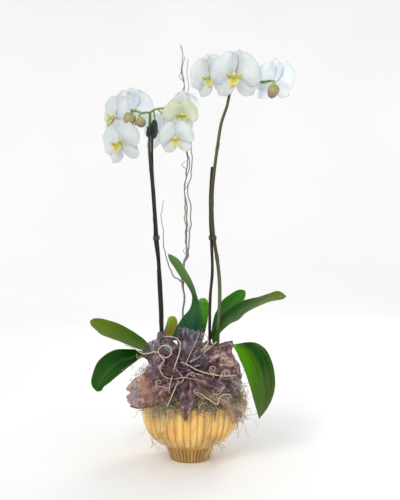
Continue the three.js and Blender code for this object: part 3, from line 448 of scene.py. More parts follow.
def lathe(rows, seg, shape=None):
    """a closed body turned round z; rows of (r, z) that start and end on the axis; shape(r, a, z, k) -> r, z"""
    rows = np.asarray(rows, float)
    a = np.linspace(0, 2 * math.pi, seg, endpoint=False)
    R = np.repeat(rows[1:-1, 0][:, None], seg, 1)
    Z = np.repeat(rows[1:-1, 1][:, None], seg, 1)
    A = np.repeat(a[None], len(rows) - 2, 0)
    K = np.repeat(np.arange(1, len(rows) - 1)[:, None], seg, 1)
    g = np.zeros_like(R)
    if shape:
        R, Z, g = shape(R, A, Z, K)
    v = np.stack([R * np.cos(A), R * np.sin(A), Z], -1).reshape(-1, 3)
    n = len(rows) - 2
    i, j = np.meshgrid(np.arange(n - 1), np.arange(seg), indexing="ij")
    j2 = (j + 1) % seg
    q = np.stack([i * seg + j, i * seg + j2, (i + 1) * seg + j2, (i + 1) * seg + j], -1).reshape(-1, 4)
    v = np.vstack([v, [0, 0, rows[0, 1]], [0, 0, rows[-1, 1]]])
    k = np.arange(seg)
    k2 = (k + 1) % seg
    tris = np.vstack(
        [
            np.stack([np.full(seg, n * seg), k2, k], -1),
            np.stack([np.full(seg, n * seg + 1), (n - 1) * seg + k, (n - 1) * seg + k2], -1),
        ]
    )
    surf = np.stack([A.ravel() / (2 * math.pi), g.ravel(), (K / len(rows)).ravel()], -1)
    surf = np.vstack([surf, [0, 0, 0], [0, 0, 1]])
    return v, q, tris, surf


def build(name, parts, mats, scale=MM, smooth=True, ride=True, tones=None, mat_of=None):
    """one object from parts (verts, quads, tris, surf); tones is one number or an array for each part"""
    V, F4, F3, S, T, M4, M3 = [], [], [], [], [], [], []
    off = 0
    for k, (v, q, t, s) in enumerate(parts):
        V.append(v)
        S.append(s)
        tone = 0.0 if tones is None else tones[k]
        T.append(np.broadcast_to(np.asarray(tone, float), (len(v),)))
        F4.append(q + off)
        F3.append(t + off)
        mi = 0 if mat_of is None else mat_of[k]
        M4.append(np.full(len(q), mi))
        M3.append(np.full(len(t), mi))
        off += len(v)
    V, S, T = np.vstack(V) * scale, np.vstack(S), np.concatenate(T)
    F4, F3 = np.vstack(F4).astype(np.int32), np.vstack(F3).astype(np.int32)
    me = bpy.data.meshes.new(name)
    me.vertices.add(len(V))
    me.vertices.foreach_set("co", V.astype(np.float32).ravel())
    loops = np.concatenate([F4.ravel(), F3.ravel()])
    me.loops.add(len(loops))
    me.loops.foreach_set("vertex_index", loops)
    tot = np.concatenate([np.full(len(F4), 4), np.full(len(F3), 3)]).astype(np.int32)
    start = np.concatenate([[0], np.cumsum(tot)[:-1]]).astype(np.int32)
    me.polygons.add(len(tot))
    me.polygons.foreach_set("loop_start", start)
    me.polygons.foreach_set("loop_total", tot)
    me.polygons.foreach_set("material_index", np.concatenate(M4 + M3).astype(np.int32))
    me.update(calc_edges=True)
    me.validate()
    me.polygons.foreach_set("use_smooth", np.full(len(me.polygons), smooth))
    at = me.attributes.new("surf", "FLOAT_VECTOR", "POINT")
    at.data.foreach_set("vector", S.astype(np.float32).ravel())
    at = me.attributes.new("tone", "FLOAT", "POINT")
    at.data.foreach_set("value", T.astype(np.float32))
    for m in mats if isinstance(mats, (list, tuple)) else [mats]:
        me.materials.append(m)
    o = bpy.data.objects.new(name, me)
    scene.collection.objects.link(o)
    if ride:
        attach(o, BODY)
    return o


def wob(x, seed, amp=1.0):
    """smooth wandering number"""
    g = srnd(seed)
    y = 0
    for k in range(1, 6):
        y = y + math.pow(0.62, k) * np.sin(x * (k * 1.7 + g.rand()) + g.rand() * 6.28)
    return amp * y


# ------------------------------------------------------------------ materials
class Mat:
    def __init__(s, name, rough=0.5, spec=0.5):
        s.m = bpy.data.materials.new(name)
        s.m.use_nodes = True
        s.nt = s.m.node_tree
        s.b = s.nt.nodes["Principled BSDF"]
        s.set("Roughness", rough)
        s.set("Specular IOR Level", spec)

    def set(s, key, value):
        s.b.inputs[key].default_value = value

    def node(s, kind, ins=None, **props):
        n = s.nt.nodes.new(kind)
        for k, v in props.items():
            setattr(n, k, v)
        for k, v in (ins or {}).items():
            s.put(n.inputs[k], v)
        return n

    def put(s, sock, v):
        if isinstance(v, bpy.types.NodeSocket):
            s.nt.links.new(v, sock)
        else:
            sock.default_value = v

    def attr(s, name):
        return s.node("ShaderNodeAttribute", attribute_name=name)

    def surf(s):
        x = s.node("ShaderNodeSeparateXYZ", {0: s.attr("surf").outputs["Vector"]})
        return x.outputs[0], x.outputs[1], x.outputs[2]

    def tone(s):
        return s.attr("tone").outputs["Fac"]

    def math(s, op, a, b=0.0, c=0.0, clamp=False):
        n = s.node("ShaderNodeMath", operation=op, use_clamp=clamp)
        s.put(n.inputs[0], a)
        s.put(n.inputs[1], b)
        if op in ("MULTIPLY_ADD", "COMPARE", "SMOOTH_MIN"):
            s.put(n.inputs[2], c)
        return n.outputs[0]

    def mix(s, fac, a, b, mode="MIX"):
        n = s.node("ShaderNodeMix", data_type="RGBA", blend_type=mode)
        s.put(n.inputs[0], fac)
        s.put(n.inputs[6], a)
        s.put(n.inputs[7], b)
        return n.outputs[2]

    def ramp(s, fac, rows, mode="LINEAR"):
        n = s.node("ShaderNodeValToRGB")
        s.put(n.inputs[0], fac)
        r = n.color_ramp
        r.interpolation = mode
        while len(r.elements) < len(rows):
            r.elements.new(0.5)
        for e, (p, c) in zip(r.elements, rows):
            e.position = p
            e.color = c if len(c) == 4 else (*c, 1)
        return n.outputs[0]

    def vec(s, x=None, y=None, z=None):
        n = s.node("ShaderNodeCombineXYZ")
        for k, v in enumerate((x, y, z)):
            if v is not None:
                s.put(n.inputs[k], v)
        return n.outputs[0]

    def obj(s):
        return s.node("ShaderNodeTexCoord").outputs["Object"]

    def scale(s, v, k):
        n = s.node("ShaderNodeMapping")
        s.put(n.inputs["Vector"], v)
        n.inputs["Scale"].default_value = k
        return n.outputs[0]

    def noise(s, scale, detail=4.0, rough=0.5, v=None, dist=0.0):
        n = s.node("ShaderNodeTexNoise")
        s.put(n.inputs["Vector"], s.obj() if v is None else v)
        n.inputs["Scale"].default_value = scale
        n.inputs["Detail"].default_value = detail
        n.inputs["Roughness"].default_value = rough
        n.inputs["Distortion"].default_value = dist
        return n.outputs["Fac"]

    def voronoi(s, scale, v=None, feature="F1"):
        n = s.node("ShaderNodeTexVoronoi", feature=feature)
        s.put(n.inputs["Vector"], s.obj() if v is None else v)
        n.inputs["Scale"].default_value = scale
        return n.outputs["Distance"]

    def bump(s, height, strength=0.3, dist=0.001, normal=None):
        n = s.node("ShaderNodeBump")
        n.inputs["Strength"].default_value = strength
        n.inputs["Distance"].default_value = dist
        s.put(n.inputs["Height"], height)
        if normal is not None:
            s.put(n.inputs["Normal"], normal)
        return n.outputs[0]

    def done(s, colour=None, normal=None, rough=None, alpha=None):
        if colour is not None:
            s.put(s.b.inputs["Base Color"], colour)
        if normal is not None:
            s.put(s.b.inputs["Normal"], normal)
        if rough is not None:
            s.put(s.b.inputs["Roughness"], rough)
        if alpha is not None:
            s.put(s.b.inputs["Alpha"], alpha)
        return s.m


def ceramic_mat():
    m = Mat("glazed_ochre", 0.28, 0.45)
    a, g, k = m.surf()
    z = m.node("ShaderNodeSeparateXYZ", {0: m.obj()}).outputs[2]
    n1 = m.noise(30, 6, 0.6)
    n2 = m.noise(160, 4, 0.6)
    # each rib has its own tint, and the glaze has run down in streaks
    st = m.noise(3.0, 5, 0.62, m.scale(m.obj(), (16, 16, 1.6)))
    fine = m.noise(3.0, 4, 0.7, m.scale(m.obj(), (62, 62, 4.0)))
    base = m.ramp(st, [(0.30, lin(192, 138, 58)), (0.45, lin(226, 172, 82)), (0.58, lin(246, 200, 106)), (0.76, lin(254, 232, 154))])
    base = m.mix(m.math("MULTIPLY", m.ramp(fine, [(0.42, (0, 0, 0)), (0.7, (1, 1, 1))]), 0.38), base, lin(238, 206, 132))
    base = m.mix(m.math("MULTIPLY", m.ramp(fine, [(0.25, (1, 1, 1)), (0.45, (0, 0, 0))]), 0.4), base, lin(176, 122, 52))
    # the glaze thins to brown in the grooves
    grv = m.ramp(g, [(0.0, (0.84, 0.84, 0.84)), (0.26, (0.54, 0.54, 0.54)), (0.5, (0.17, 0.17, 0.17)), (0.85, (0, 0, 0))])
    wander = m.math("MULTIPLY", grv, m.math("MULTIPLY_ADD", n1, 1.5, 0.1), clamp=True)
    col = m.mix(wander, base, lin(132, 84, 32))
    # darker brown towards the bottom, deepest in the grooves: partly the foot's own brown, partly painted shade round
    # the foot and under the belly of the bowl
    low = m.ramp(z, [(0.0, (1, 1, 1)), (0.024, (0.85, 0.85, 0.85)), (0.034, (0.5, 0.5, 0.5)), (0.06, (0, 0, 0))])
    low = m.math("MULTIPLY", low, m.math("MULTIPLY_ADD", grv, 0.6, 0.46), clamp=True)
    col = m.mix(low, col, lin(84, 56, 22))
    speck = m.ramp(m.voronoi(420), [(0.0, (1, 1, 1)), (0.14, (0, 0, 0))])
    spk = m.math("MULTIPLY", speck, m.ramp(m.noise(60, 2), [(0.55, (0, 0, 0)), (0.7, (1, 1, 1))]))
    col = m.mix(m.math("MULTIPLY", spk, 0.4), col, lin(110, 70, 30))
    h = m.math("ADD", m.math("MULTIPLY", n2, 0.35), m.math("MULTIPLY", fine, 0.65))
    m.set("Coat Weight", 0.3)
    m.set("Coat Roughness", 0.12)
    rough = m.math("MULTIPLY_ADD", n2, 0.18, 0.24)
    return m.done(col, m.bump(h, 0.3, 0.0012), rough)


def inside_clay_mat():
    m = Mat("unglazed_clay", 0.8, 0.3)
    n = m.noise(90, 5, 0.6)
    col = m.ramp(n, [(0.3, lin(176, 140, 96)), (0.7, lin(205, 172, 126))])
    return m.done(col, m.bump(n, 0.3, 0.0008))


def petal_mat(name="petal_white", blush=0.0):
    m = Mat(name, 0.5, 0.35)
    u, v, side = m.surf()
    tone = m.tone()
    x = m.math("SUBTRACT", v, 0.5)
    fan = m.vec(m.math("MULTIPLY", x, 13.0), m.math("MULTIPLY", u, 1.5), 0.0)
    vein = m.noise(5.0, 4.0, 0.6, fan, 0.3)
    vein = m.ramp(vein, [(0.38, (0, 0, 0)), (0.50, (1, 1, 1)), (0.62, (0, 0, 0))])
    fine = m.noise(260, 2, 0.5)
    cloud = m.noise(48, 4, 0.55)
    white = m.ramp(cloud, [(0.3, lin(192, 200, 201)), (0.7, lin(218, 224, 222))])
    green = m.ramp(cloud, [(0.3, lin(186, 192, 100)), (0.7, lin(212, 216, 150))])
    base = m.mix(tone, white, green)
    # greener towards the heart and the margins of the young flowers, whiter between
    base = m.mix(m.math("MULTIPLY", m.ramp(u, [(0.25, (0, 0, 0)), (0.55, (1, 1, 1)), (0.85, (0, 0, 0))]), m.math("MULTIPLY", tone, 0.55)), base, lin(222, 225, 206))
    if blush:
        # the sepals are a little greyer and rosier, most of all towards their ends
        base = m.mix(m.math("MULTIPLY", m.ramp(u, [(0.1, (0.4, 0.4, 0.4)), (0.95, (1, 1, 1))]), blush), base, lin(194, 180, 184))
    col = m.mix(m.math("MULTIPLY", vein, 0.26), base, lin(164, 176, 182))
    # painted shade: the margins and the tip of each petal are painted grey-blue
    rim = m.math("MAXIMUM", m.ramp(m.math("ABSOLUTE", x), [(0.40, (0, 0, 0)), (0.5, (1, 1, 1))]), m.ramp(u, [(0.86, (0, 0, 0)), (1.0, (1, 1, 1))]))
    col = m.mix(m.math("MULTIPLY", rim, 0.5), col, lin(176, 188, 198))
    heart = m.ramp(u, [(0.02, (1, 1, 1)), (0.22, (0, 0, 0))])
    col = m.mix(m.math("MULTIPLY", heart, 0.6), col, lin(218, 222, 150))
    mid = m.ramp(m.math("ABSOLUTE", x), [(0.0, (1, 1, 1)), (0.035, (0, 0, 0))])
    col = m.mix(m.math("MULTIPLY", mid, 0.22), col, lin(206, 214, 190))
    # painted light: the back face is painted paler and bluer, lifting the backs that turn away from the lamps
    back = m.math("LESS_THAN", side, 0.0)
    col = m.mix(m.math("MULTIPLY", back, 0.8), col, lin(236, 244, 252))
    h = m.math("ADD", m.math("MULTIPLY", vein, 0.8), m.math("MULTIPLY", fine, 0.3))
    m.set("Subsurface Weight", 0.34)
    m.set("Subsurface Radius", (0.004, 0.004, 0.0035))
    m.set("Subsurface Scale", 1.0)
    m.set("Sheen Weight", 0.1)
    m.set("Sheen Roughness", 0.4)
    return m.done(col, m.bump(h, 0.14, 0.0004))


def lip_mat():
    """yellow throat with fine red-brown bars, paler towards the edges"""
    m = Mat("lip_yellow", 0.45, 0.45)
    u, v, side = m.surf()
    tone = m.tone()
    x = m.math("ABSOLUTE", m.math("SUBTRACT", v, 0.5))
    n = m.noise(120, 4, 0.6)
    yellow = m.ramp(n, [(0.3, lin(172, 162, 24)), (0.7, lin(206, 200, 84))])
    pale = m.ramp(n, [(0.3, lin(206, 206, 160)), (0.7, lin(222, 223, 196))])
    edge = m.ramp(m.math("ADD", m.math("MULTIPLY", x, 1.25), m.math("MULTIPLY", u, 0.6)), [(0.5, (0, 0, 0)), (0.92, (1, 1, 1))])
    col = m.mix(m.math("MULTIPLY", edge, m.math("SUBTRACT", 1.0, m.math("MULTIPLY", tone, 0.4))), yellow, pale)
    bars = m.noise(1.0, 2, 0.5, m.vec(m.math("MULTIPLY", u, 26.0), m.math("MULTIPLY", v, 4.0), 0.0))
    bars = m.ramp(bars, [(0.55, (0, 0, 0)), (0.63, (1, 1, 1))])
    near = m.ramp(u, [(0.1, (1, 1, 1)), (0.6, (0, 0, 0))])
    col = m.mix(m.math("MULTIPLY", m.math("MULTIPLY", bars, near), 0.35), col, lin(150, 96, 20))
    m.set("Subsurface Weight", 0.15)
    m.set("Subsurface Radius", (0.003, 0.002, 0.001))
    return m.done(col, m.bump(n, 0.25, 0.0004))


def column_mat():
    m = Mat("column_white", 0.4, 0.5)
    u, v, side = m.surf()
    n = m.noise(150, 3)
    col = m.ramp(u, [(0.0, lin(226, 226, 160)), (0.35, lin(226, 224, 210)), (0.78, lin(230, 228, 220)), (0.92, lin(216, 210, 196)), (1.0, lin(220, 216, 198))])
    m.set("Subsurface Weight", 0.2)
    m.set("Subsurface Radius", (0.003, 0.002, 0.002))
    return m.done(col, m.bump(n, 0.15, 0.0003))


def bud_mat():
    m = Mat("bud_skin", 0.42, 0.45)
    u, v, side = m.surf()
    n = m.noise(55, 4, 0.6)
    f = m.math("ADD", u, m.math("MULTIPLY_ADD", n, 0.3, -0.15))
    col = m.ramp(f, [(0.02, lin(110, 128, 34)), (0.3, lin(148, 152, 76)), (0.55, lin(160, 150, 106)), (0.8, lin(146, 126, 98)), (1.0, lin(122, 104, 78))])
    vein = m.noise(3.0, 2, 0.5, m.vec(m.math("MULTIPLY", v, 60.0), m.math("MULTIPLY", u, 1.5), 0.0))
    col = m.mix(m.math("MULTIPLY", m.ramp(vein, [(0.45, (0, 0, 0)), (0.6, (1, 1, 1))]), 0.22), col, lin(136, 140, 70))
    m.set("Coat Weight", 0.15)
    m.set("Coat Roughness", 0.3)
    return m.done(col, m.bump(m.math("ADD", vein, n), 0.25, 0.0005))


def leaf_mat(name, base, tip, edge, gloss=0.3, under=None, left=None, turn=(0.4, 0.97)):
    m = Mat(name, gloss, 0.5)
    u, v, side = m.surf()
    x = m.math("ABSOLUTE", m.math("SUBTRACT", v, 0.5))
    n = m.noise(38, 5, 0.6)
    ln = m.noise(1.0, 3, 0.55, m.vec(m.math("MULTIPLY", v, 46.0), m.math("MULTIPLY", u, 2.2), 0.0), 0.15)
    body = m.mix(m.ramp(u, [(turn[0], (0, 0, 0)), (turn[1], (1, 1, 1))]), base, tip)
    body = m.mix(m.math("MULTIPLY", m.ramp(n, [(0.35, (0, 0, 0)), (0.75, (1, 1, 1))]), 0.42), body, edge)
    # painted light and shade: one side of the blade, strongest towards the base, takes the given colour, as painted
    # light on the hanging leaf and painted shade on the long one
    if left is not None:
        body = m.mix(m.math("MULTIPLY", m.ramp(v, [(0.16, (1, 1, 1)), (0.62, (0, 0, 0))]), m.ramp(u, [(0.35, (0.95, 0.95, 0.95)), (0.8, (0.12, 0.12, 0.12))])), body, left)
    body = m.mix(m.math("MULTIPLY", m.ramp(ln, [(0.42, (0, 0, 0)), (0.6, (1, 1, 1))]), 0.14), body, edge)
    rib = m.ramp(x, [(0.0, (1, 1, 1)), (0.012, (0.6, 0.6, 0.6)), (0.04, (0, 0, 0))])
    body = m.mix(m.math("MULTIPLY", rib, 0.3), body, lin(132, 162, 80))
    # painted highlight streaks along the blade
    painted_highlight_streaks = m.noise(1.0, 2, 0.5, m.vec(m.math("MULTIPLY", v, 9.0), m.math("MULTIPLY", u, 1.1), 0.0), 0.4)
    body = m.mix(m.math("MULTIPLY", m.ramp(painted_highlight_streaks, [(0.54, (0, 0, 0)), (0.68, (1, 1, 1))]), 0.17), body, lin(140, 184, 90))
    dark = m.noise(1.0, 2, 0.5, m.vec(m.math("MULTIPLY", v, 5.0), m.math("MULTIPLY", u, 2.4), 3.0), 0.3)
    body = m.mix(m.math("MULTIPLY", m.ramp(dark, [(0.5, (0, 0, 0)), (0.66, (1, 1, 1))]), 0.26), body, base)
    marg = m.ramp(x, [(0.455, (0, 0, 0)), (0.5, (1, 1, 1))])
    body = m.mix(m.math("MULTIPLY", marg, 0.5), body, lin(116, 142, 62))
    back = m.math("LESS_THAN", side, 0.0)
    body = m.mix(m.math("MULTIPLY", back, 0.4), body, under or lin(126, 146, 92))
    body = m.mix(0.24, body, (0.0, 0.006, 0.0, 1))
    h = m.math("ADD", m.math("MULTIPLY", ln, 0.6), m.math("MULTIPLY", m.noise(420, 2), 0.18))
    m.set("Specular IOR Level", 0.08)
    m.set("Coat Weight", 0.02)
    m.set("Coat Roughness", 0.25)
    m.set("Subsurface Weight", 0.05)
    m.set("Subsurface Radius", (0.002, 0.004, 0.001))
    rough = m.math("MULTIPLY_ADD", n, 0.18, gloss - 0.06)
    return m.done(body, m.bump(h, 0.3, 0.0005), rough)


def stem_mat(name, rows):
    m = Mat(name, 0.42, 0.45)
    u, v, side = m.surf()
    n = m.noise(70, 5, 0.6)
    f = m.math("ADD", u, m.math("MULTIPLY_ADD", n, 0.16, -0.08))
    col = m.ramp(f, rows)
    fl = m.ramp(m.noise(240, 3), [(0.5, (0, 0, 0)), (0.72, (1, 1, 1))])
    col = m.mix(m.math("MULTIPLY", fl, 0.16), col, lin(104, 92, 68))
    m.set("Specular IOR Level", 0.25)
    m.set("Coat Weight", 0.05)
    m.set("Coat Roughness", 0.3)
    return m.done(col, m.bump(n, 0.25, 0.0006))


def wood_mat(name, dark, light, rough=0.7, stretch=12.0):
    m = Mat(name, rough, 0.35)
    u, v, side = m.surf()
    g = m.noise(2.2, 5, 0.65, m.vec(m.math("MULTIPLY", v, stretch), m.math("MULTIPLY", u, 9.0), 0.0), 0.4)
    n = m.noise(180, 3)
    col = m.ramp(g, [(0.28, dark), (0.72, light)])
    col = m.mix(m.math("MULTIPLY", n, 0.3), col, dark)
    return m.done(col, m.bump(m.math("ADD", g, m.math("MULTIPLY", n, 0.4)), 0.5, 0.0007))


def plastic_mat(name, colour, rough=0.45):
    m = Mat(name, rough, 0.5)
    n = m.noise(300, 3)
    col = m.mix(m.math("MULTIPLY", n, 0.25), colour, lin(70, 70, 66))
    return m.done(col, m.bump(n, 0.12, 0.0004), m.math("MULTIPLY_ADD", m.noise(40, 3), 0.2, rough - 0.1))


def moss_mat():
    m = Mat("dried_moss", 0.9, 0.15)
    t = m.tone()
    n = m.noise(90, 3, 0.6)
    f = m.math("ADD", t, m.math("MULTIPLY_ADD", n, 0.24, -0.12), clamp=True)
    col = m.ramp(f, [(0.0, lin(106, 96, 76)), (0.25, lin(148, 130, 104)), (0.5, lin(178, 158, 124)), (0.75, lin(206, 188, 150)), (1.0, lin(230, 216, 182))])
    m.set("Sheen Weight", 0.2)
    m.set("Sheen Roughness", 0.5)
    return m.done(col, m.bump(m.noise(700, 2), 0.3, 0.0003))


def moss_bed_mat():
    m = Mat("moss_bed", 0.95, 0.1)
    n = m.noise(210, 6, 0.72, None, 1.2)
    big = m.noise(24, 3)
    col = m.ramp(n, [(0.3, lin(46, 40, 28)), (0.5, lin(104, 92, 64)), (0.72, lin(170, 152, 112))])
    col = m.mix(m.math("MULTIPLY", m.ramp(big, [(0.4, (0, 0, 0)), (0.65, (1, 1, 1))]), 0.4), col, lin(86, 92, 68))
    return m.done(col, m.bump(n, 0.9, 0.004))


def bark_mat():
    m = Mat("bark_chips", 0.9, 0.2)
    n = m.noise(120, 6, 0.7)
    col = m.ramp(m.voronoi(90), [(0.1, lin(120, 80, 48)), (0.5, lin(70, 44, 26)), (0.9, lin(30, 20, 12))])
    return m.done(col, m.bump(n, 0.9, 0.003))


def vine_mat():
    m = Mat("dry_vine", 0.6, 0.35)
    u, v, side = m.surf()
    g = m.noise(2.0, 4, 0.6, m.vec(m.math("MULTIPLY", v, 8.0), m.math("MULTIPLY", u, 30.0), 0.0), 0.5)
    col = m.ramp(g, [(0.25, lin(140, 118, 92)), (0.5, lin(202, 184, 156)), (0.8, lin(234, 222, 198))])
    return m.done(col, m.bump(g, 0.4, 0.0005))


def organza_mat(name, deep, mid, high, warm, alpha=0.8, warmth=0.3):
    """sheer woven ribbon: the tone carries the crumples, as painted light on the ridges and painted shade in the folds
    """
    m = Mat(name, 0.3, 0.6)
    u, v, side = m.surf()
    t = m.tone()
    cr = m.noise(90, 6, 0.7, None, 1.0)
    big = m.noise(21, 3, 0.55)
    wv = m.noise(900, 2, 0.6)
    # long soft folds that run out from the knot, painted as light and shade into the colour and set into the bump
    off = m.math("MULTIPLY", m.noise(6, 2, 0.5), 5.0)
    fold = m.noise(1.0, 3, 0.55, m.vec(m.math("MULTIPLY_ADD", v, 9.0, off), m.math("MULTIPLY", u, 1.7), 0.0), 0.35)
    # painted light and shade: the colour runs from the deep colour in the folds to the highlight colour on the crumple
    # ridges and along the folds
    f = m.math("ADD", m.math("MULTIPLY", t, 0.46), m.math("MULTIPLY", cr, 0.26))
    f = m.math("ADD", f, m.math("MULTIPLY_ADD", fold, 0.8, -0.23))
    col = m.ramp(f, [(0.34, deep), (0.5, mid), (0.60, mid), (0.76, high)])
    wf = m.math("MULTIPLY", m.ramp(big, [(0.52, (0, 0, 0)), (0.66, (1, 1, 1))]), warmth)
    col = m.mix(wf, col, warm)
    blue = m.math("MULTIPLY", m.ramp(m.noise(17, 2, 0.5, m.scale(m.obj(), (1.3, 1.1, 0.8))), [(0.55, (0, 0, 0)), (0.7, (1, 1, 1))]), 0.4)
    col = m.mix(blue, col, lin(84, 74, 110))
    col = m.mix(m.math("MULTIPLY", wv, 0.16), col, high)
    # thin painted highlight lines along the creases, and thin lines of painted shade in the deep colour
    cn = m.noise(48, 4, 0.62, m.scale(m.obj(), (1.0, 1.0, 0.7)))
    painted_crease_highlight = m.ramp(m.math("ABSOLUTE", m.math("SUBTRACT", cn, 0.5)), [(0.0, (1, 1, 1)), (0.022, (0, 0, 0))])
    dark = m.ramp(m.math("ABSOLUTE", m.math("SUBTRACT", m.noise(33, 4, 0.6), 0.52)), [(0.0, (1, 1, 1)), (0.05, (0, 0, 0))])
    col = m.mix(m.math("MULTIPLY", dark, 0.3), col, deep)
    col = m.mix(m.math("MULTIPLY", painted_crease_highlight, 0.3), col, high)
    glint = m.math("MULTIPLY", m.ramp(m.voronoi(330), [(0.0, (1, 1, 1)), (0.16, (0, 0, 0))]), m.ramp(m.noise(130, 3, 0.7), [(0.55, (0, 0, 0)), (0.66, (1, 1, 1))]))
    col = m.mix(m.math("MULTIPLY", glint, 0.7), col, lin(226, 196, 190))
    ed = m.ramp(m.math("ABSOLUTE", m.math("SUBTRACT", v, 0.5)), [(0.455, (0, 0, 0)), (0.485, (1, 1, 1))])
    col = m.mix(m.math("MULTIPLY", ed, 0.7), col, deep)
    # fine plain weave: threads across and along
    th = m.math("MULTIPLY", m.math("SINE", m.math("MULTIPLY", v, 420.0)), m.math("SINE", m.math("MULTIPLY", u, 900.0)))
    a = m.math("ADD", m.math("MULTIPLY_ADD", f, 0.42, alpha - 0.24), m.math("MULTIPLY", th, 0.05))
    a = m.math("SUBTRACT", a, m.math("MULTIPLY", wf, 0.3))
    a = m.math("ADD", a, m.math("MULTIPLY", ed, 0.25), clamp=True)
    m.set("Sheen Weight", 0.12)
    m.set("Sheen Roughness", 0.3)
    m.set("Sheen Tint", (0.9, 0.7, 0.8, 1))
    return m.done(col, m.bump(m.math("ADD", m.math("MULTIPLY_ADD", fold, 1.2, cr), m.math("MULTIPLY", th, 0.2)), 0.9, 0.0018), alpha=a)


def wire_mat():
    m = Mat("ribbon_wire", 0.4, 0.5)
    n = m.noise(400, 2)
    col = m.ramp(n, [(0.3, lin(62, 40, 50)), (0.7, lin(132, 98, 96))])
    return m.done(col, m.bump(n, 0.3, 0.0003))


CERAMIC, CLAY, PETAL, LIP, COLUMN, BUD = ceramic_mat(), inside_clay_mat(), petal_mat(), lip_mat(), column_mat(), bud_mat()
SEPAL = petal_mat("sepal_white", 0.34)
MOSS, MOSS_BED, BARK, VINE, WIRE = moss_mat(), moss_bed_mat(), bark_mat(), vine_mat(), wire_mat()
STEM_L = stem_mat("stem_left", [(0.0, lin(34, 36, 20)), (0.3, lin(20, 20, 14)), (0.75, lin(26, 28, 16)), (0.93, lin(70, 92, 38)), (1.0, lin(98, 130, 52))])
STEM_R = stem_mat("stem_right", [(0.0, lin(108, 124, 84)), (0.2, lin(92, 100, 68)), (0.34, lin(66, 62, 38)), (0.52, lin(70, 62, 38)), (0.66, lin(76, 84, 40)), (0.8, lin(72, 84, 38)), (0.92, lin(80, 104, 42)), (1.0, lin(110, 140, 58))])
STALK = stem_mat("flower_stalk", [(0.0, lin(104, 134, 50)), (0.5, lin(132, 158, 72)), (1.0, lin(186, 204, 140))])
STAKE_L = wood_mat("stake_left_wood", lin(10, 10, 9), lin(42, 38, 32), 0.6)
STAKE_R = wood_mat("stake_right_wood", lin(30, 15, 12), lin(74, 44, 34), 0.6)
TWIG_M = wood_mat("twig_bark", lin(96, 86, 80), lin(184, 176, 170), 0.85)
CLIP_M = plastic_mat("clip_plastic", lin(38, 48, 40))
LINER_M = plastic_mat("nursery_plastic", lin(36, 36, 36), 0.6)
CROWN_M = stem_mat("crown_skin", [(0.0, lin(120, 110, 60)), (0.5, lin(96, 112, 44)), (1.0, lin(70, 100, 30))])
FLOOR = Mat("floor", 0.9, 0.0)
FLOOR = FLOOR.done(FLOOR.ramp(FLOOR.noise(2, 2), [(0.3, lin(240, 240, 239)), (0.7, lin(243, 243, 242))]))

# a pale sweep: the floor rises into the wall far behind
sweep = [(-4.0, 0.0), (1.6, 0.0)]
sweep += [(1.6 + 1.6 * math.sin(t), 1.6 - 1.6 * math.cos(t)) for t in np.linspace(0, math.pi / 2, 25)[1:]]
sweep += [(3.2, 4.5)]
me = bpy.data.meshes.new("floor")
vs, fs = [], []
for y, z in sweep:
    vs += [(-5, y, z), (5, y, z)]
for k in range(len(sweep) - 1):
    fs.append((2 * k, 2 * k + 1, 2 * k + 3, 2 * k + 2))
me.from_pydata(vs, [], fs)
me.polygons.foreach_set("use_smooth", [True] * len(fs))
me.materials.append(FLOOR)
floor = bpy.data.objects.new("floor", me)
scene.collection.objects.link(floor)
floor.location.z = -0.0002

# ------------------------------------------------------------------ the bowl
RIBS, FLUTES = 40, 40
OUT = [(36, 0), (40.5, 14), (44.6, 24), (46.5, 27.2), (56, 32), (65, 38.5), (73.5, 47), (81, 59), (85.2, 73), (87.6, 92), (88.3, 110)]


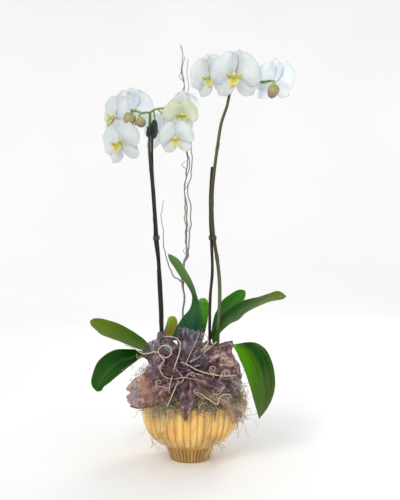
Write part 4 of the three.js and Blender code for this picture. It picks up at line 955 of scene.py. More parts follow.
def bowl():
    o = curve([(r, z, 0) for r, z in OUT], 96)[:, :2]
    rim = curve([(88.3, 110, 0), (88.0, 112.6, 0), (86.6, 114, 0), (85.0, 112.8, 0), (84.2, 109, 0)], 12)[1:, :2]
    ins = curve([(84.2, 109, 0), (83, 92, 0), (79.5, 74, 0), (72, 57, 0), (60, 42, 0), (46, 31, 0), (37, 20, 0), (32, 9, 0), (20, 7.4, 0)], 34)[1:, :2]
    foot = [(0, 0.0), (12, 0.0), (24, 0.0), (33.5, 0.0), (35.2, 0.25)]
    rows = np.vstack([foot, o, rim, ins, [(0, 7)]])
    n_out = len(foot) + len(o) + 5
    zs = rows[:, 1]

    def shape(R, A, Z, K):
        ph = (A * RIBS / (2 * math.pi) + 0.1 * np.sin(5 * A) + 0.08 * np.sin(9 * A + 1)) % 1.0
        crest = np.abs(np.sin(math.pi * ph)) ** 0.62
        ff = (A * FLUTES / (2 * math.pi)) % 1.0
        flute = np.abs(np.sin(math.pi * ff)) ** 0.7
        outer = K < n_out
        up = np.clip((Z - 27.5) / 9.0, 0, 1)
        lo = np.clip((Z - 0.8) / 3.0, 0, 1) * np.clip((28.0 - Z) / 3.0, 0, 1)
        body = np.where(outer & (Z > 27), up, 0)
        fade = np.where(K < n_out, 1.0, np.clip(1 - (K - n_out) / 6.0, 0, 1))
        wav = 1 + 0.12 * np.sin(3 * A + 1) + 0.12 * np.sin(7 * A)
        dr = body * fade * (crest * 3.3 * wav - 1.7)
        dr = dr + np.where((K >= n_out) & (K < n_out + 7), fade * (crest * 3.3 - 1.7) * 0.6, 0)
        dr = dr + np.where(outer & (Z < 28), lo * (flute * 1.5 - 0.9), 0)
        g = np.where(outer, np.where(Z > 27, crest * up + (1 - up), flute * 0.9 * lo + (1 - lo) * 0.5), 1.0)
        wob_r = 0.35 * np.sin(2 * A + Z * 0.02) + 0.25 * np.sin(5 * A - Z * 0.05)
        return R + dr + np.where(Z > 5, wob_r, 0), Z, g

    v, q, t, s = lathe(rows, RIBS * 14, shape)
    mat = (rows[1:-1, 1] > -1).astype(int)
    parts = [(v, q, t, s)]
    ob = build("bowl", parts, [CERAMIC, CLAY])
    # unglazed below and inside
    me = ob.data
    c = np.zeros(len(me.polygons) * 3, np.float32)
    me.polygons.foreach_get("center", c)
    c = c.reshape(-1, 3) / MM
    rr = np.hypot(c[:, 0], c[:, 1])
    inner = (c[:, 2] > 0.5) & (rr < np.interp(c[:, 2], [0, 10, 27, 34, 60, 82, 108, 115], [20, 34, 43, 53, 77, 83, 85, 0]))
    idx = np.where((c[:, 2] < 0.12) | inner, 1, 0).astype(np.int32)
    me.polygons.foreach_set("material_index", idx)
    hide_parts("pot")
    return ob


bowl()


def assign(node, mat, smooth=False):
    for o in scene.objects:
        if o.name == node or o.get("node") == node:
            o.data.materials.clear()
            o.data.materials.append(mat)


# ------------------------------------------------------------------ nursery pot, bark and packing inside
def liner_radius(z):
    return 40 + 28 * (z - 29) / 121


def liner():
    rows = [(0, 29), (30, 29), (38.6, 29), (40, 30.2)]
    rows += [(liner_radius(z), z) for z in np.linspace(32, 143, 22)]
    rows += [(67.6, 144), (68.0, 145.5), (68.0, 149), (67.5, 149.8), (66.9, 149.8), (66.6, 149), (66.4, 145)]
    rows += [(liner_radius(z) - 1.2, z) for z in np.linspace(143, 32, 18)]
    rows += [(38.2, 30.4), (20, 30.3), (0, 30.2)]

    def shape(R, A, Z, K):
        rib = 0.5 * np.clip(np.sin(A * 16) * 4, -1, 1) * ((Z > 40) & (Z < 140))
        return R - np.abs(rib) * 0.6, Z, R * 0

    o = build("nursery_pot_shell", [lathe(rows, 128, shape)], LINER_M)
    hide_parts("nursery_pot")


liner()


def lumpy(name, rows, seg, amp, seed, mat, node, freq=0.09):
    def shape(R, A, Z, K):
        out = np.zeros_like(R)
        for i in range(R.shape[0]):
            for j in range(R.shape[1]):
                p = (R[i, j] * math.cos(A[i, j]) * freq, R[i, j] * math.sin(A[i, j]) * freq, Z[i, j] * freq + seed)
                out[i, j] = noise.noise(p) + 0.5 * noise.noise((p[0] * 2.3, p[1] * 2.3, p[2] * 2.3))
        return R + out * amp * np.clip(R / 10, 0, 1), Z + out * amp * 0.7, R * 0

    o = build(name, [lathe(rows, seg, shape)], mat)
    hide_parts(node)
    return o


bark_rows = [(0, 31.5), (20, 31.5), (37, 32)] + [(liner_radius(z) - 3.4, z) for z in np.linspace(34, 143, 16)]
bark_rows += [(58, 145.6), (46, 146.6), (30, 147), (14, 147), (0, 147)]
lumpy("bark_bed", bark_rows, 72, 1.0, 3.0, BARK, "bark_mix", 0.2)


def packing():
    n, seg = 30, 96
    ring = []
    outer = [(45.5, 62), (60, 71.6), (80, 78.6), (92, 80.4), (105.6, 80.9)]
    inner = [(105.6, liner_radius(105.6) + 1.8), (80, liner_radius(80) + 1.8), (60, liner_radius(60) + 1.8), (45.5, liner_radius(45.5) + 1.8)]
    loop = [(r, z) for z, r in outer] + [(r, z) for z, r in inner]
    loop.append(loop[0])
    pts = []
    for a, b in zip(loop[:-1], loop[1:]):
        for k in range(5):
            pts.append((a[0] + (b[0] - a[0]) * k / 5, a[1] + (b[1] - a[1]) * k / 5))
    pts = np.array(pts)
    a = np.linspace(0, 2 * math.pi, seg, endpoint=False)
    V = []
    for r, z in pts:
        for x in a:
            d = 0.9 * noise.noise((r * math.cos(x) * 0.15, r * math.sin(x) * 0.15, z * 0.15))
            V.append(((r + d * 0.5) * math.cos(x), (r + d * 0.5) * math.sin(x), z + d * 0.4))
    V = np.array(V)
    m = len(pts)
    i, j = np.meshgrid(np.arange(m), np.arange(seg), indexing="ij")
    i2, j2 = (i + 1) % m, (j + 1) % seg
    q = np.stack([i * seg + j, i * seg + j2, i2 * seg + j2, i2 * seg + j], -1).reshape(-1, 4)
    surf = np.zeros((len(V), 3))
    o = build("packing_moss_bed", [(V, q, np.zeros((0, 3), int), surf)], MOSS_BED)
    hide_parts("packing_moss")


packing()


# ------------------------------------------------------------------ moss mound and strands
MOUND = [(82.3, 113), (82, 120), (78, 134), (72.5, 149), (62, 161), (36, 168), (0.01, 171)]
BUMPS = 1.0


def mound_r(z):
    return float(np.interp(z, [113, 120, 134, 149, 161, 168, 171], [82.3, 82, 78, 72.5, 62, 36, 0]))


def mound():
    under = [(0, 152), (30, 152), (60, 152), (69.2, 152), (70.0, 150.5)]
    under += [(liner_radius(z) + 1.6, z) for z in (140, 125, 112)] + [(60.6, 108.4), (70, 108.2), (80.6, 108.4)]
    top = curve([(81.6, 110, 0)] + [(r, z, 0) for r, z in MOUND], 54)[:, :2]
    rows = np.vstack([under, top[:-1], [(0, 170.6)]])

    def shape(R, A, Z, K):
        out = np.zeros_like(R)
        for i in range(R.shape[0]):
            if K[i, 0] < len(under):
                continue
            for j in range(R.shape[1]):
                x, y, z = R[i, j] * math.cos(A[i, j]), R[i, j] * math.sin(A[i, j]), Z[i, j]
                d = 2.4 * noise.noise((x * 0.05, y * 0.05, z * 0.05)) + 1.6 * noise.noise((x * 0.16, y * 0.16, z * 0.16 + 7))
                d += 1.0 * noise.noise((x * 0.5, y * 0.5, z * 0.5))
                out[i, j] = d * min(1, max(0, (z - 110) / 6))
        lim = np.where(Z < 116, np.minimum(out, 0.4), out)
        return R + lim * np.clip(R / 20, 0, 1), Z + np.where(Z > 150, lim * 0.8, 0), R * 0

    o = build("moss_mound", [lathe(rows, 120, shape)], MOSS_BED)
    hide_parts("moss_topdressing")


mound()


def strands(name, P, radius, tone, sides=3):
    """many thin bars at once: P is [count, n, 3], radius [count] or [count, n], tone [count]"""
    c, n = P.shape[:2]
    T = np.gradient(P, axis=1)
    T /= np.linalg.norm(T, axis=2)[..., None] + 1e-9
    g = srnd(c + n)
    ref = g.randn(c, 3)
    ref /= np.linalg.norm(ref, axis=1)[:, None]
    N = ref[:, None] - T * (T * ref[:, None]).sum(2)[..., None]
    N /= np.linalg.norm(N, axis=2)[..., None] + 1e-6
    B = np.cross(T, N)
    r = np.asarray(radius, float)
    r = np.repeat(r[:, None], n, 1) if r.ndim == 1 else r
    taper = np.ones(n)
    taper[0], taper[-1] = 0.5, 0.25
    r = r * taper[None]
    a = np.linspace(0, 2 * math.pi, sides, endpoint=False)
    V = P[:, :, None] + N[:, :, None] * (np.cos(a)[None, None, :, None] * r[..., None, None]) + B[:, :, None] * (
        np.sin(a)[None, None, :, None] * r[..., None, None]
    )
    V = V.reshape(-1, 3)
    i, j = np.meshgrid(np.arange(n - 1), np.arange(sides), indexing="ij")
    j2 = (j + 1) % sides
    q = np.stack([i * sides + j, i * sides + j2, (i + 1) * sides + j2, (i + 1) * sides + j], -1).reshape(-1, 4)
    Q = (q[None] + (np.arange(c) * n * sides)[:, None, None]).reshape(-1, 4)
    e0, e1 = np.arange(sides)[::-1], (n - 1) * sides + np.arange(sides)
    base = (np.arange(c) * n * sides)[:, None]
    if sides == 3:
        tri = np.vstack([e0[None] + base, e1[None] + base])
        extra4 = np.zeros((0, 4), int)
    else:
        tri = np.zeros((0, 3), int)
        extra4 = np.vstack([e0[None] + base, e1[None] + base])
    surf = np.zeros((len(V), 3))
    surf[:, 0] = np.tile(np.repeat(np.linspace(0, 1, n), sides), c)
    surf[:, 2] = 1
    tones = np.repeat(np.asarray(tone, float), n * sides)
    o = build(name, [(V, np.vstack([Q, extra4]), tri, surf)], MOSS, tones=[tones])
    return o


def curl_paths(start, heading, length, n, seed, curl=1.0, gravity=0.0):
    """curly random walks; start and heading are [count, 3]"""
    g = srnd(seed)
    c = len(start)
    step = (np.asarray(length) / (n - 1))[:, None]
    h = heading / (np.linalg.norm(heading, axis=1)[:, None] + 1e-9)
    axis = g.randn(c, 3)
    axis /= np.linalg.norm(axis, axis=1)[:, None]
    rate = (g.rand(c) * 1.1 + 0.15) * curl
    P = [start.copy()]
    p = start.copy()
    for k in range(n - 1):
        axis = axis + g.randn(c, 3) * 0.28
        axis /= np.linalg.norm(axis, axis=1)[:, None]
        h = h + np.cross(axis, h) * rate[:, None] * 0.55
        h[:, 2] -= gravity
        h /= np.linalg.norm(h, axis=1)[:, None] + 1e-9
        p = p + h * step
        P.append(p.copy())
    return np.stack(P, 1)


def keep_out(P, lo=0.6):
    """strands stay out of the mound, outside the bowl, and above the floor"""
    r = np.hypot(P[..., 0], P[..., 1])
    z = P[..., 2]
    rm = np.interp(z, [108, 113, 120, 134, 149, 161, 168, 171, 171.01], [81.5, 82.3, 82, 78, 72.5, 62, 36, 2, 0])
    inside = (z > 113) & (r < rm + lo)
    k = np.where(inside & (z < 158), (rm + lo) / np.maximum(r, 1e-3), 1.0)
    P = P.copy()
    P[..., 0] *= k
    P[..., 1] *= k
    top = inside & (z >= 158)
    zt = np.interp(r, [0, 36, 62, 72], [171.5, 168.5, 161.5, 152])
    P[..., 2] = np.where(top, np.maximum(z, zt + lo), P[..., 2])
    # the bowl: below the rim a strand hangs outside it
    r = np.hypot(P[..., 0], P[..., 1])
    rb = np.interp(P[..., 2], [0, 14, 27, 32, 38.5, 47, 59, 73, 95, 110, 114.5], [38, 43, 49, 58, 68, 77, 84.5, 88.5, 90.6, 91.2, 91])
    low = (P[..., 2] < 114.6) & (r < rb + lo)
    k = np.where(low, (rb + lo) / np.maximum(r, 1e-3), 1.0)
    P[..., 0] *= k
    P[..., 1] *= k
    P[..., 2] = np.maximum(P[..., 2], 1.2)
    return P


def moss_cover():
    g = srnd(11)
    # over the mound
    c = 3000
    a = g.rand(c) * 2 * math.pi
    z = 112 + 60 * g.rand(c) ** 1.1
    r = np.array([mound_r(x) for x in np.clip(z, 113, 171)])
    r = np.where(z > 165, 62 * np.sqrt(g.rand(c)), r)
    start = np.stack([r * np.cos(a), r * np.sin(a), z], 1)
    tang = np.stack([-np.sin(a), np.cos(a), g.randn(c) * 0.8], 1) * np.sign(g.randn(c))[:, None] + g.randn(c, 3) * 0.5
    tang[:, 2] += 0.1
    P = curl_paths(start, tang, 16 + 26 * g.rand(c), 10, 12, 1.5)
    P = keep_out(P, 0.5 + 0.0)
    lift = 2.6 * g.rand(c)[:, None] * np.sin(np.linspace(0, math.pi, 10))[None]
    rr = np.hypot(P[..., 0], P[..., 1]) + 1e-6
    P[..., 0] += P[..., 0] / rr * lift
    P[..., 1] += P[..., 1] / rr * lift
    tone = np.clip(0.33 + 0.26 * g.randn(c) + 0.12 * np.sin(2 * a + 1.0) + 0.14 * np.cos(a + 2.0), 0, 1)
    o = strands("moss_strands_mound", P, 0.34 + 0.3 * g.rand(c), tone)
    # along the rim, tucked in and spilling a little over it
    c = 900
    a = g.rand(c) * 2 * math.pi
    start = np.stack([(82 + 5 * g.rand(c)) * np.cos(a), (82 + 5 * g.rand(c)) * np.sin(a), 113.5 + 7 * g.rand(c)], 1)
    tang = np.stack([-np.sin(a), np.cos(a), g.randn(c) * 0.5], 1) * np.sign(g.randn(c))[:, None] + np.stack(
        [np.cos(a), np.sin(a), 0 * a], 1
    ) * (g.rand(c)[:, None] - 0.3)
    P = keep_out(curl_paths(start, tang, 18 + 20 * g.rand(c), 10, 13, 1.5, 0.02), 0.5)
    P[..., 2] = np.maximum(P[..., 2], 113.6 + 1.2 * np.sin(np.arange(10))[None])
    rr = np.hypot(P[..., 0], P[..., 1])
    k = np.where(rr > 89.4, 89.4 / rr, 1.0)
    P[..., 0] *= k
    P[..., 1] *= k
    strands("moss_strands_rim", P, 0.34 + 0.3 * g.rand(c), np.clip(0.42 + 0.25 * g.randn(c), 0, 1))
    # tufts that hang over the rim: right, left-front and a few at the back
    groups = [(-10, 14, 190, 40, 0.78), (-34, 9, 50, 30, 0.62), (-121, 6, 84, 44, 0.66), (-64, 2, 12, 60, 0.6), (-26, 4, 10, 48, 0.6), (178, 20, 110, 26, 0.85), (80, 50, 50, 26, 0.5), (-84, 20, 10, 12, 0.4)]
    S, H, Ls, To = [], [], [], []
    for deg, spread, count, ln, tn in groups:
        a = np.radians(deg + spread * g.randn(count))
        zz = 115 + 22 * g.rand(count) ** 2
        rr = np.interp(zz, [113, 134, 149], [88, 82, 76])
        S.append(np.stack([rr * np.cos(a), rr * np.sin(a), zz], 1))
        H.append(np.stack([0.6 * np.cos(a), 0.6 * np.sin(a), -0.7 + 0.3 * g.randn(count)], 1) + 0.4 * g.randn(count, 3))
        Ls.append(ln * (0.5 + 1.0 * g.rand(count)))
        To.append(np.clip(tn + 0.2 * g.randn(count), 0, 1))
    S, H, Ls, To = np.vstack(S), np.vstack(H), np.concatenate(Ls), np.concatenate(To)
    P = keep_out(curl_paths(S, H, Ls, 22, 14, 1.15, 0.2), 0.5)
    # they hang close to the bowl
    rr = np.hypot(P[..., 0], P[..., 1])
    far = np.interp(P[..., 2], [0, 30, 60, 95, 114, 150], [52, 62, 92, 100, 104, 106])
    k = np.where(rr > far, (far + 0.25 * (rr - far)) / rr, 1.0)
    P[..., 0] *= k
    P[..., 1] *= k
    strands("moss_strands_hanging", P, 0.30 + 0.22 * g.rand(len(S)), To, 4)
    # two thin wisps of long fibres, one off the right shoulder and one down past the foot
    S, H, Ls = [], [], []
    for (x, y, z), spread, head, count, ln in (
        ((86, -30, 96), (3, 6, 8), (0.42, -0.05, -0.9), 34, 52),
        ((92, -26, 118), (4, 6, 10), (0.2, -0.05, -0.95), 30, 34),
        ((42, -62, 56), (5, 2, 5), (0.05, -0.05, -1.0), 20, 42),
        ((-56, -66, 62), (7, 2, 6), (0.15, -0.1, -0.8), 22, 34),
    ):
        S.append(np.array([x, y, z]) + g.randn(count, 3) * np.array(spread))
        H.append(np.array(head) + g.randn(count, 3) * 0.14)
        Ls.append(ln * (0.5 + 0.6 * g.rand(count)))
    S, H, Ls = np.vstack(S), np.vstack(H), np.concatenate(Ls)
    P = keep_out(curl_paths(S, H, Ls, 22, 19, 0.75, 0.1), 0.5)
    P[..., 2] = np.maximum(P[..., 2], 1.2)
    strands("moss_strands_wisps", P, 0.28 + 0.2 * g.rand(len(S)), np.clip(0.62 + 0.2 * g.randn(len(S)), 0, 1), 4)
    return o


moss_cover()


# ------------------------------------------------------------------ leaves
# for each leaf: base, tip and mottle colours, gloss, underside, and a colour painted across one side of the blade, as
# painted light on the hanging leaf and painted shade on the long leaf
LEAF_LOOKS = {
    "leaf_left_upper": (lin(58, 96, 0), lin(120, 138, 30), lin(92, 120, 8), 0.4, lin(108, 122, 46), None),
    "leaf_left_lower": (lin(2, 42, 0), lin(34, 92, 14), lin(34, 98, 14), 0.3, lin(60, 96, 34), None),
    "leaf_centre_tall": (lin(44, 92, 74), lin(116, 158, 52), lin(50, 112, 62), 0.26, lin(34, 84, 40), None),
    "leaf_back_centre": (lin(44, 122, 0), lin(80, 158, 0), lin(88, 160, 10), 0.36, lin(80, 140, 20), None),
    "leaf_right_upper": (lin(14, 80, 4), lin(62, 142, 20), lin(54, 126, 20), 0.32, lin(54, 104, 26), None),
    "leaf_right_long": (lin(58, 94, 20), lin(132, 138, 58), lin(70, 116, 20), 0.3, lin(74, 104, 36), lin(2, 70, 0)),
    "leaf_right_hanging": (lin(26, 74, 2), lin(104, 110, 62), lin(46, 92, 10), 0.3, lin(54, 92, 14), lin(98, 176, 0)),
    "leaf_back_left": (lin(136, 96, 6), lin(138, 200, 0), lin(150, 166, 4), 0.4, lin(150, 156, 20), None),
}


def leaf(name, st):
    st = np.array(st, float)
    pc, pw = (st[-2, :3] + st[-2, 3:]) / 2, (st[-2, 3:] - st[-2, :3]) / 2
    lc = (st[-1, :3] + st[-1, 3:]) / 2
    mid = pc + (lc - pc) * 0.62
    if name != "leaf_right_hanging":
        st = np.vstack([st[:-1], np.r_[mid - pw * 0.68, mid + pw * 0.68], st[-1:]])
    nu, nv = 80, 25
    A = curve(st[:, :3], nu, even=False)
    B = curve(st[:, 3:], nu, even=False)
    v = np.linspace(0, 1, nv)
    # the two leaves on the right lie against each other along their middle
    close = (np.sin(np.linspace(0, 1, nu) * math.pi) ** 0.8)[:, None] * (B - A)
    if name == "leaf_right_upper":
        B = B + close * 0.26
    if name == "leaf_right_long":
        A = A - close * 0.14
    C = B - A
    W = np.linalg.norm(C, axis=1)
    t = np.gradient((A + B) / 2, axis=0)
    n = np.cross(t, C)
    n /= np.linalg.norm(n, axis=1)[:, None] + 1e-9
    n[n[:, 2] < 0] *= -1
    for k in range(1, nu):
        if n[k].dot(n[k - 1]) < 0:
            n[k] *= -1
    x = 2 * v - 1
    seed = sum(ord(c) for c in name)
    fold = -0.10 * (1 - x**2)
    P = A[:, None] + C[:, None] * v[None, :, None] + n[:, None] * (W[:, None] * fold[None])[..., None]
    s = np.linspace(0, 1, nu)
    groove = -0.9 * np.exp(-((x[None] * W[:, None] / 2 / 1.5) ** 2)) * (1 - 0.6 * s[:, None])
    ridge = 0.5 * np.exp(-(((np.abs(x)[None] * W[:, None] / 2 - 3.0) / 1.6) ** 2)) * np.clip(W[:, None] / 30, 0, 1)
    wave = (wob(s * 4 + 0.3, seed, 0.45)[:, None] * x[None] ** 2 * np.sign(x)[None] + wob(s * 6 + 2, seed + 1, 0.4)[:, None] * x[None] ** 4) * np.clip(W[:, None] / 40, 0, 1)
    P = P + n[:, None] * (groove + ridge + wave)[..., None]
    thick = (0.7 + 1.5 * np.exp(-((x[None] * W[:, None] / 2 / 5.0) ** 2)) + 0.5 * (1 - x[None] ** 2)) * np.clip(W[:, None] / 12, 0.35, 1)
    thick = thick * (1 - 0.55 * x[None] ** 8)
    V, Q, Tt, S = shell(P, thick)
    # the grid's normal may face down: make side +1 the upper face
    up = (normals_of(P) * n[:, None]).sum(2).mean()
    if up < 0:
        S = S.copy()
        S[:, 2] *= -1
    b, tp, e, gl, un, painted_light_shade_side = LEAF_LOOKS[name]
    m = leaf_mat(name + "_skin", b, tp, e, gl, un, painted_light_shade_side, {"leaf_centre_tall": (0.2, 0.62), "leaf_right_long": (0.5, 0.9), "leaf_right_hanging": (0.5, 1.0)}.get(name, (0.3, 0.95)))
    o = build(name + "_blade", [(V, Q, Tt, S)], m)
    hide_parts(name)
    return o


for key, st in LAYOUT["leaves"].items():
    leaf(key, st)


# crowns: short stems wrapped in old leaf bases
def crown(name, top, foot):
    top, foot = np.array(top, float), np.array(foot, float)
    mid = np.array([(foot[0] + top[0]) / 2, (foot[1] + top[1]) / 2, 160])
    path = curve([foot, mid, top, top + np.array([top[0] * 0.02, 0, 14])], 40)
    t = np.linspace(0, 1, 40)
    r = np.interp(t, [0, 0.3, 0.7, 1], [10.4, 13.2, 11.8, 5.5]) + 0.5 * np.sin(t * 40)
    parts = [tube(path, r, 24, 5, 0.03)]
    for k in range(5):
        u = 0.25 + 0.13 * k
        c = path[int(u * 39)]
        a0 = k * 2.5 + (0.4 if top[0] > 0 else 1.6)
        uu, vv = np.linspace(0, 1, 14), np.linspace(-1, 1, 13)
        G = np.zeros((14, 13, 3))
        for i, x in enumerate(uu):
            for j, y in enumerate(vv):
                a = a0 + y * (1.05 - 0.8 * x)
                rr = np.interp(u, [0, 0.3, 0.7, 1], [10.4, 13.2, 11.8, 5.5]) + 0.5 + 1.2 * x
                G[i, j] = c + np.array([rr * math.cos(a), rr * math.sin(a), -6 + 16 * x])
        parts.append(shell(G, 0.8))
    o = build(name + "_stem", parts, CROWN_M)
    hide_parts(name)


crown("crown_left", LAYOUT["crown_left"], (-38, 6, 128))
crown("crown_right", LAYOUT["crown_right"], (32, 6, 128))


# ------------------------------------------------------------------ flowers
def flower_frame(f):
    az, el, roll = (math.radians(f[k]) for k in ("az", "el", "roll"))
    z = np.array([math.sin(az) * math.cos(el), -math.cos(az) * math.cos(el), math.sin(el)])
    side = np.cross([0, 0, 1], z)
    side /= np.linalg.norm(side)
    up = np.cross(z, side)
    x = side * math.cos(roll) + up * math.sin(roll)
    y = np.cross(z, x)
    return np.array(f["c"], float), np.stack([x, y, z], 1)


def place(G, f):
    c, m = flower_frame(f)
    return G @ m.T + c


PETAL_W = [(0, 0.09), (0.05, 0.14), (0.12, 0.44), (0.23, 0.78), (0.37, 0.95), (0.54, 1.0), (0.70, 0.97), (0.83, 0.84), (0.92, 0.63), (0.975, 0.36), (1, 0.07)]
SEPAL_W = [(0, 0.30), (0.12, 0.50), (0.3, 0.82), (0.5, 1.0), (0.7, 0.95), (0.85, 0.74), (0.95, 0.42), (1, 0.06)]


def tepal(deg, length, width, rows, z0, lean, cup, curl, seed, nu=34, nv=25, skew=0.0):
    s = np.linspace(0, 1, nu)
    u = 1 - (1 - s) ** 1.6
    v = np.linspace(-1, 1, nv)
    v = np.sin(v * math.pi / 2) * 0.35 + v * 0.65
    W = width * prof(rows, u)
    r = 1.6 + u * length
    w = W[:, None] / 2 * v[None]
    g = srnd(seed)
    r2 = r[:, None] - 0.10 * length * (np.abs(v)[None] ** 2) * prof([(0, 0), (0.5, 0.2), (1, 0.35)], u)[:, None]
    z = z0 + lean * u[:, None] * length + 0.10 * length * np.sin(u * math.pi)[:, None] * 0.5
    z = z - cup * width * (v[None] ** 2) * prof([(0, 0.15), (0.3, 0.7), (0.7, 1.0), (1, 0.8)], u)[:, None]
    z = z - curl * length * np.clip(u - 0.55, 0, 1)[:, None] ** 2
    k1, k2, k3 = g.rand(3) * 6.28
    edge = np.abs(v)[None] ** 3
    z = z + edge * width * (0.034 * np.sin(u * 9 + k1)[:, None] + 0.024 * np.sin(u[:, None] * 17 + k2 + 2 * np.sign(v)[None]))
    z = z + width * 0.03 * np.sin(u * 5 + k3)[:, None] * v[None] + width * 0.016 * np.sin(u * 7 + k2)[:, None] * np.cos(v * 4 + k1)[None]
    z = z - 0.55 * np.exp(-((w / 1.1) ** 2)) * (1 - u)[:, None]
    w = w + skew * width * np.sin(u * math.pi)[:, None] * 0.5
    a = math.radians(deg)
    x = r2 * math.cos(a) - w * math.sin(a)
    y = r2 * math.sin(a) + w * math.cos(a)
    G = np.stack([x, y, z * np.ones_like(x)], -1)
    thick = (0.75 - 0.42 * np.abs(v)[None] ** 2) * prof([(0, 1.3), (0.2, 1.0), (1, 0.5)], u)[:, None]
    return G, thick, u, (v + 1) / 2


def flower(name, f):
    R = f["size"] / 2
    sd = int(name.split("_")[1]) * 17
    g = srnd(sd)
    jit = lambda s: float(g.randn() * s)
    tone = 1.0 if f["tint"] else 0.0
    petals, sepals = [], []
    for sign in (1, -1):
        deg = 29 + jit(2.0)
        G, th, u, v = tepal(deg, R - 2, R * 1.34, PETAL_W, 1.3, 0.04 + jit(0.03), 0.09 + jit(0.02), 0.14 + jit(0.06), sd + sign, 44, 35, 0.05)
        if sign < 0:
            G = G * np.array([-1, 1, 1])
            G = G[:, ::-1]
        petals.append(shell(place(G, f), th, u, v))
    for deg, ln, w in ((90, 0.98, 0.66), (-46, 0.93, 0.64), (226, 0.93, 0.64)):
        G, th, u, v = tepal(deg + jit(2.5), R * ln, R * w, SEPAL_W, -1.5, -0.02 + jit(0.02), 0.10, 0.12 + jit(0.05), sd + int(deg))
        sepals.append(shell(place(G, f), th, u, v))
    o1 = build(name + "_petals", petals, PETAL, tones=[tone * 0.6] * 2)
    o2 = build(name + "_sepals", sepals, SEPAL, tones=[tone * 0.8 + 0.04] * 3)
    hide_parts(name)
    # lip: two side lobes, the middle lobe with its two tendrils, and the callus
    k = f["size"] / 84 * 1.16
    parts, tones = [], []
    U, V = np.meshgrid(np.linspace(0, 1, 22), np.linspace(-1, 1, 15), indexing="ij")
    for sign in (1, -1):
        wd = prof([(0, 4.0), (0.3, 8.4), (0.6, 9.8), (0.85, 7.2), (1, 1.4)], U)
        arch = U * 1.5
        x = sign * (1.5 + 9.0 * np.sin(arch) - 0.1 * V**2 * wd)
        y = -3.6 + 6.6 * U + V * wd * 0.42
        z = 6.5 + 5.5 * U + V * wd * 0.30 - 1.2 * (V**2)
        G = np.stack([x, y, z], -1) * k
        if sign < 0:
            G = G[:, ::-1]
        parts.append(shell(place(G, f), 0.45 * k))
        tones.append(0.2)
    wd = prof([(0, 6.2), (0.2, 10.0), (0.45, 16.0), (0.6, 16.6), (0.78, 11.0), (0.93, 4.6), (1, 2.4)], U)
    path_y = prof([(0, -1.5), (0.3, -5.0), (0.6, -9.0), (0.85, -12.4), (1, -13.8)], U)
    path_z = prof([(0, 7.6), (0.3, 12.0), (0.6, 15.2), (0.85, 16.0), (1, 15.2)], U)
    x = V * wd / 2
    y = path_y + 1.6 * np.abs(V) ** 1.4 * (wd / 12)
    z = path_z - 1.2 * np.abs(V) ** 1.4 * (wd / 12) - 0.5 * np.exp(-((V * wd) ** 2) / 2.0)
    parts.append(shell(place(np.stack([x, y, z], -1) * k, f), 0.55 * k))
    tones.append(0.6)
    for sign in (1, -1):
        p = np.array([[sign * 0.8, -13.4, 15.2], [sign * 2.0, -15.2, 15.8], [sign * 3.6, -14.6, 17.4], [sign * 4.4, -12.4, 18.2], [sign * 3.6, -10.8, 17.6]]) * k
        pth = curve(place(p, f), 18)
        parts.append(tube(pth, np.linspace(0.5, 0.16, 18) * k, 7))
        tones.append(0.1)
    for sx in (1, -1):
        th = np.linspace(0, math.pi, 9)
        ph = np.linspace(0, 2 * math.pi, 14, endpoint=True)
        TT, PP = np.meshgrid(th, ph, indexing="ij")
        G = np.stack([sx * 1.15 + 1.25 * np.sin(TT) * np.cos(PP), -1.6 + 1.3 * np.sin(TT) * np.sin(PP), 9.2 + 2.1 * np.cos(TT)], -1) * k
        v_, q_, t_, s_ = single(place(G, f))
        parts.append((v_, q_, t_, s_))
        tones.append(1.0)
    o3 = build(name + "_lip_blade", parts, LIP, tones=tones)
    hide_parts(name + "_lip")
    # column: a rounded hood that leans over the lip
    t = np.linspace(0, 1, 22)
    p = np.stack([0 * t, 0.6 + 2.6 * np.sin(t * 1.9), -0.5 + 12.2 * t], 1) * k
    r = prof([(0, 3.6), (0.15, 2.6), (0.4, 2.3), (0.7, 3.0), (0.88, 3.0), (0.97, 2.0), (1, 0.9)], t) * k
    o4 = build(name + "_column", [tube(place(p, f), r * 0.84, 18, 0, 0, 0.9)], COLUMN)
    return o1, o2, o3, o4


for key, f in LAYOUT["flowers"].items():
    flower(key, f)


def bud(name, b):
    f = dict(c=b["c"], az=b["az"], el=b["el"], roll=0)
    th = np.linspace(0.02, math.pi - 0.02, 34)
    ph = np.linspace(0, 2 * math.pi, 61)
    T, Pp = np.meshgrid(th, ph, indexing="ij")
    z = np.cos(T)
    k = 1 - 0.18 * z
    seam = -0.045 * np.exp(-(((np.mod(Pp, 2 * math.pi / 3) - math.pi / 3) / 0.12) ** 2)) * np.sin(T)
    r = b["r"] * 0.93 * np.sin(T) * k * (1 + seam + 0.05 * np.cos(3 * Pp) * 0.5)
    G = np.stack([r * np.cos(Pp), r * np.sin(Pp), z * b["l"] / 2 * (1 + 0.0 * k)], -1)
    G = place(G, f)
    v, q, t, s = single(G)
    s[:, 0] = np.repeat(0.5 + 0.5 * np.cos(th), len(ph))
    o = build(name + "_body", [(v, q, t, s)], BUD)
    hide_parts(name)


for key, b in LAYOUT["buds"].items():
    bud(key, b)


# ------------------------------------------------------------------ flower stems
def stalk_path(start, f, back, n=26):
    c, m = flower_frame(f)
    nrm = m[:, 2]
    a = np.array(start, float)
    end = c - nrm * back
    d = np.linalg.norm(end - a)
    c1 = a + (end - a) * 0.3 + np.array([0, 0, d * 0.12])
    c2 = end - nrm * 0.38 * d
    t = np.linspace(0, 1, n)[:, None]
    return (1 - t) ** 3 * a + 3 * (1 - t) ** 2 * t * c1 + 3 * (1 - t) * t * t * c2 + t**3 * end


